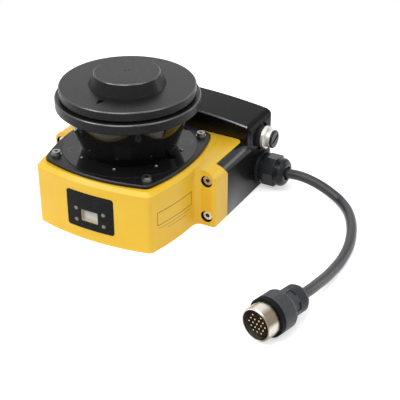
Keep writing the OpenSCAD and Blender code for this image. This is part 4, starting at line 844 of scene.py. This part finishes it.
arrow, mark_proud = [(0.4, -38.2), (3.0, -31.2), (-2.2, -31.2)], 0.03
flat_inlay("cap_arrow", arrow, disc_top - 0.15, disc_top + mark_proud, sunk_mark)
for i, (x, y) in enumerate([(-1.7, 0.3), (0.6, 1.6)]):
    dot = round_outline(x, y, radius=0.55, count=12)
    flat_inlay(f"ejector_mark_{i}", dot, hub_top - 0.1, hub_top + mark_proud, sunk_mark)
print("marks on the cap: 3")

# %% [markdown]
# ## Test lamps in the window's foot
# Eight infrared test lamps look up through the foot of the window. Each ends in a low dome of
# dark, clear resin with one bright glint on it. A dome is an arc turned about its own upright
# axis, and the glint is a painted highlight: a pale area of the resin's colour at the middle of
# each lamp.

# %% Lamp resin
lamp_circle, first_turn, lamp_step = 37, -29, 45
glint_spot_squeeze, glint_spot_r_squared = 0.35, 0.3
lamp_turns = [math.radians(first_turn + lamp_step * i) for i in range(8)]
lamp_spots = [(lamp_circle * math.cos(turn), lamp_circle * math.sin(turn)) for turn in lamp_turns]

f = Finish("dark_resin")
swirl = f.grain(0.8, 2)
x, y = apart(f, "X", "Y")
# Painted highlight: a pale glint painted at the middle of each lamp.
glint_spots = [((x - spot_x) ** 2 * glint_spot_squeeze + (y - spot_y) ** 2) < glint_spot_r_squared
        for spot_x, spot_y in lamp_spots]
glint_spot = glint_spots[0]
for other in glint_spots[1:]:
    glint_spot = f.larger(glint_spot, other)
resin = f.blend(swirl, rgb(0.010, 0.008, 0.008), rgb(0.024, 0.020, 0.018))
dark_resin = f.done(Base_Color=f.blend(glint_spot, resin, rgb(0.62, 0.62, 0.60)),
                    Roughness=0.06 + 0.06 * swirl, Specular_IOR_Level=0.9)
dress(dark_resin, "window_lamps")
print("lamp resin ready for", len(lamp_spots))

# %% Lamp domes
dome_r, dome_h, dome_hole, dome_foot = 1.22, 0.75, 0.02, -0.3
lamp_top = max(v.co.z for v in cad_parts["window_lamps"].data.vertices) / MM
arc = [math.radians(90 * k / 6) for k in range(6)]
dome = [(dome_r * math.cos(a), dome_h * math.sin(a)) for a in arc]
outline = dome + [(dome_hole, dome_h), (dome_hole, dome_foot), (dome_r, dome_foot)]
for i, spot in enumerate(lamp_spots):
    rings = turned_rings(outline, base=(*spot, lamp_top - 0.1), steps=24)
    add_piece(f"lamp_dome_{i}", *rings, dark_resin, crease=60)
print("lamp domes: 8, on", round(lamp_top, 2), "mm")

# %% [markdown]
# ## Pads and edge of the window's foot
# Two round pads and a black one show through the polished foot of the window, and the foot's
# outer edge catches a fine line of light, which a paler colour on its ring paints in part. They
# are thin rings and a thin disc, turned or cut a few hundredths of a millimetre proud.

# %% Pads
foot_low = max(v.co.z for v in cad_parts["flange_plate"].data.vertices) / MM
foot_top = foot_low + 0.35
pad_r, pad_in, pad_proud, pad_sunk = 4.4, 4.15, 0.06, -0.1
pad_outline = [(pad_in, pad_proud), (pad_r, pad_proud), (pad_r, pad_sunk), (pad_in, pad_sunk)]
for i, (x, y) in enumerate([(-29.4, -24.4), (31.9, 23.4)]):
    rings = turned_rings(pad_outline, base=(x, y, foot_top), steps=40)
    add_piece(f"window_pad_{i}", *rings, dark_resin, crease=20)
black_pad = round_outline(34.2, -1.4, radius=3.1, count=32)
flat_inlay("window_pad_2", black_pad, foot_top + pad_sunk, foot_top + pad_proud, sunk_mark)
print("pads: 3, at", round(foot_top, 2), "mm")

# %% Foot edge
f = Finish("foot_edge_gloss")
wander = f.grain(6, 2)
# The paler colour paints part of the line of light along the foot's edge.
foot_gloss = f.done(Base_Color=f.blend(wander, rgb(0.015, 0.015, 0.015), rgb(0.06, 0.058, 0.055)),
                    Roughness=0.2 + 0.1 * wander, Specular_IOR_Level=0.8)
window_corners = [v.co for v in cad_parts["scan_window"].data.vertices]
foot_r = max(math.hypot(p.x, p.y) for p in window_corners if p.z / MM < foot_low + 0.6) / MM
edge_in, edge_out = foot_r - 0.3, foot_r + 0.05
foot_edge = [(edge_in, foot_top + 0.05), (edge_out, foot_top - 0.15), (edge_out, foot_top - 0.4),
             (edge_in, foot_top - 0.4)]
add_piece("foot_edge", *turned_rings(foot_edge, steps=160), foot_gloss, crease=20)
print("foot of the window: radius", round(foot_r, 2), "from", round(foot_low, 2), "mm")

# %% [markdown]
# ## Panel fittings
# Each panel lamp sits in a pale moulded ring, and the display's opening has a cream liner that
# hides the cut edge of the casting. The rings stand square on the bulged front, so their axes
# point to the front, and their places follow the front wall's arc.

# %% Lamp rings
f = Finish("lamp_ring_plastic")
cloud = f.grain(0.8, 2)
ring_plastic = f.done(Base_Color=f.blend(cloud, rgb(0.10, 0.09, 0.07), rgb(0.16, 0.15, 0.12)),
                      Roughness=0.3 + 0.1 * cloud, Normal=f.relief(cloud, 0.01))
bulge_r, body_half_d = 180, 53.5


def front_y(x):
    """Where the bulged front wall lies at a sideways place."""
    return bulge_r - body_half_d - math.sqrt(bulge_r ** 2 - x * x)


ring_in, ring_out, ring_foot = 1.32, 1.9, -0.2
outline = [(ring_in, 0), (ring_in, 0.22), (1.5, 0.34), (1.72, 0.30), (ring_out, 0.1),
           (ring_out, ring_foot), (ring_in, ring_foot)]
for i, (x, z) in enumerate((x, z) for z in (14.4, 23.3) for x in (-9.6, 12.0)):
    rings = turned_rings(outline, base=(x, front_y(x), z), axis=(0, -1, 0), steps=40)
    add_piece(f"lamp_ring_{i}", *rings, ring_plastic, crease=50)
print("panel rings: 4")

# %% Display liner
f = Finish("cream_liner")
cloud = f.grain(2, 2)
cream_liner = f.done(Base_Color=f.blend(cloud, rgb(0.50, 0.40, 0.22), rgb(0.60, 0.50, 0.30)),
                     Roughness=0.4 + 0.1 * cloud, Normal=f.relief(cloud, 0.01))
display_x, display_z = 0.8, 18.8
liner_front, liner_back = -53.2, -50.9
liner_out, liner_in = (6.78, 4.58), (6.35, 4.15)
liner_corners = [(display_x + sx * hx, y, display_z + sz * hz) for y in (liner_front, liner_back)
                 for hx, hz in (liner_out, liner_in) for sx, sz in corner_signs]
liner_skins = []
for k in range(4):
    m = (k + 1) % 4
    liner_skins += [(k, m, 4 + m, 4 + k), (8 + k, 12 + k, 12 + m, 8 + m)]
    liner_skins += [(k, 8 + k, 8 + m, m), (4 + k, 4 + m, 12 + m, 12 + k)]
add_piece("display_liner", liner_corners, liner_skins, cream_liner, crease=20)
print("liner faces:", len(liner_skins))

# %% [markdown]
# ## Closing
# A last look for anything left bare.

# %% Close
bare = [name for name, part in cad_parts.items()
        if not part.data.materials or not part.data.materials[0]]
print("nodes without a finish:", bare)
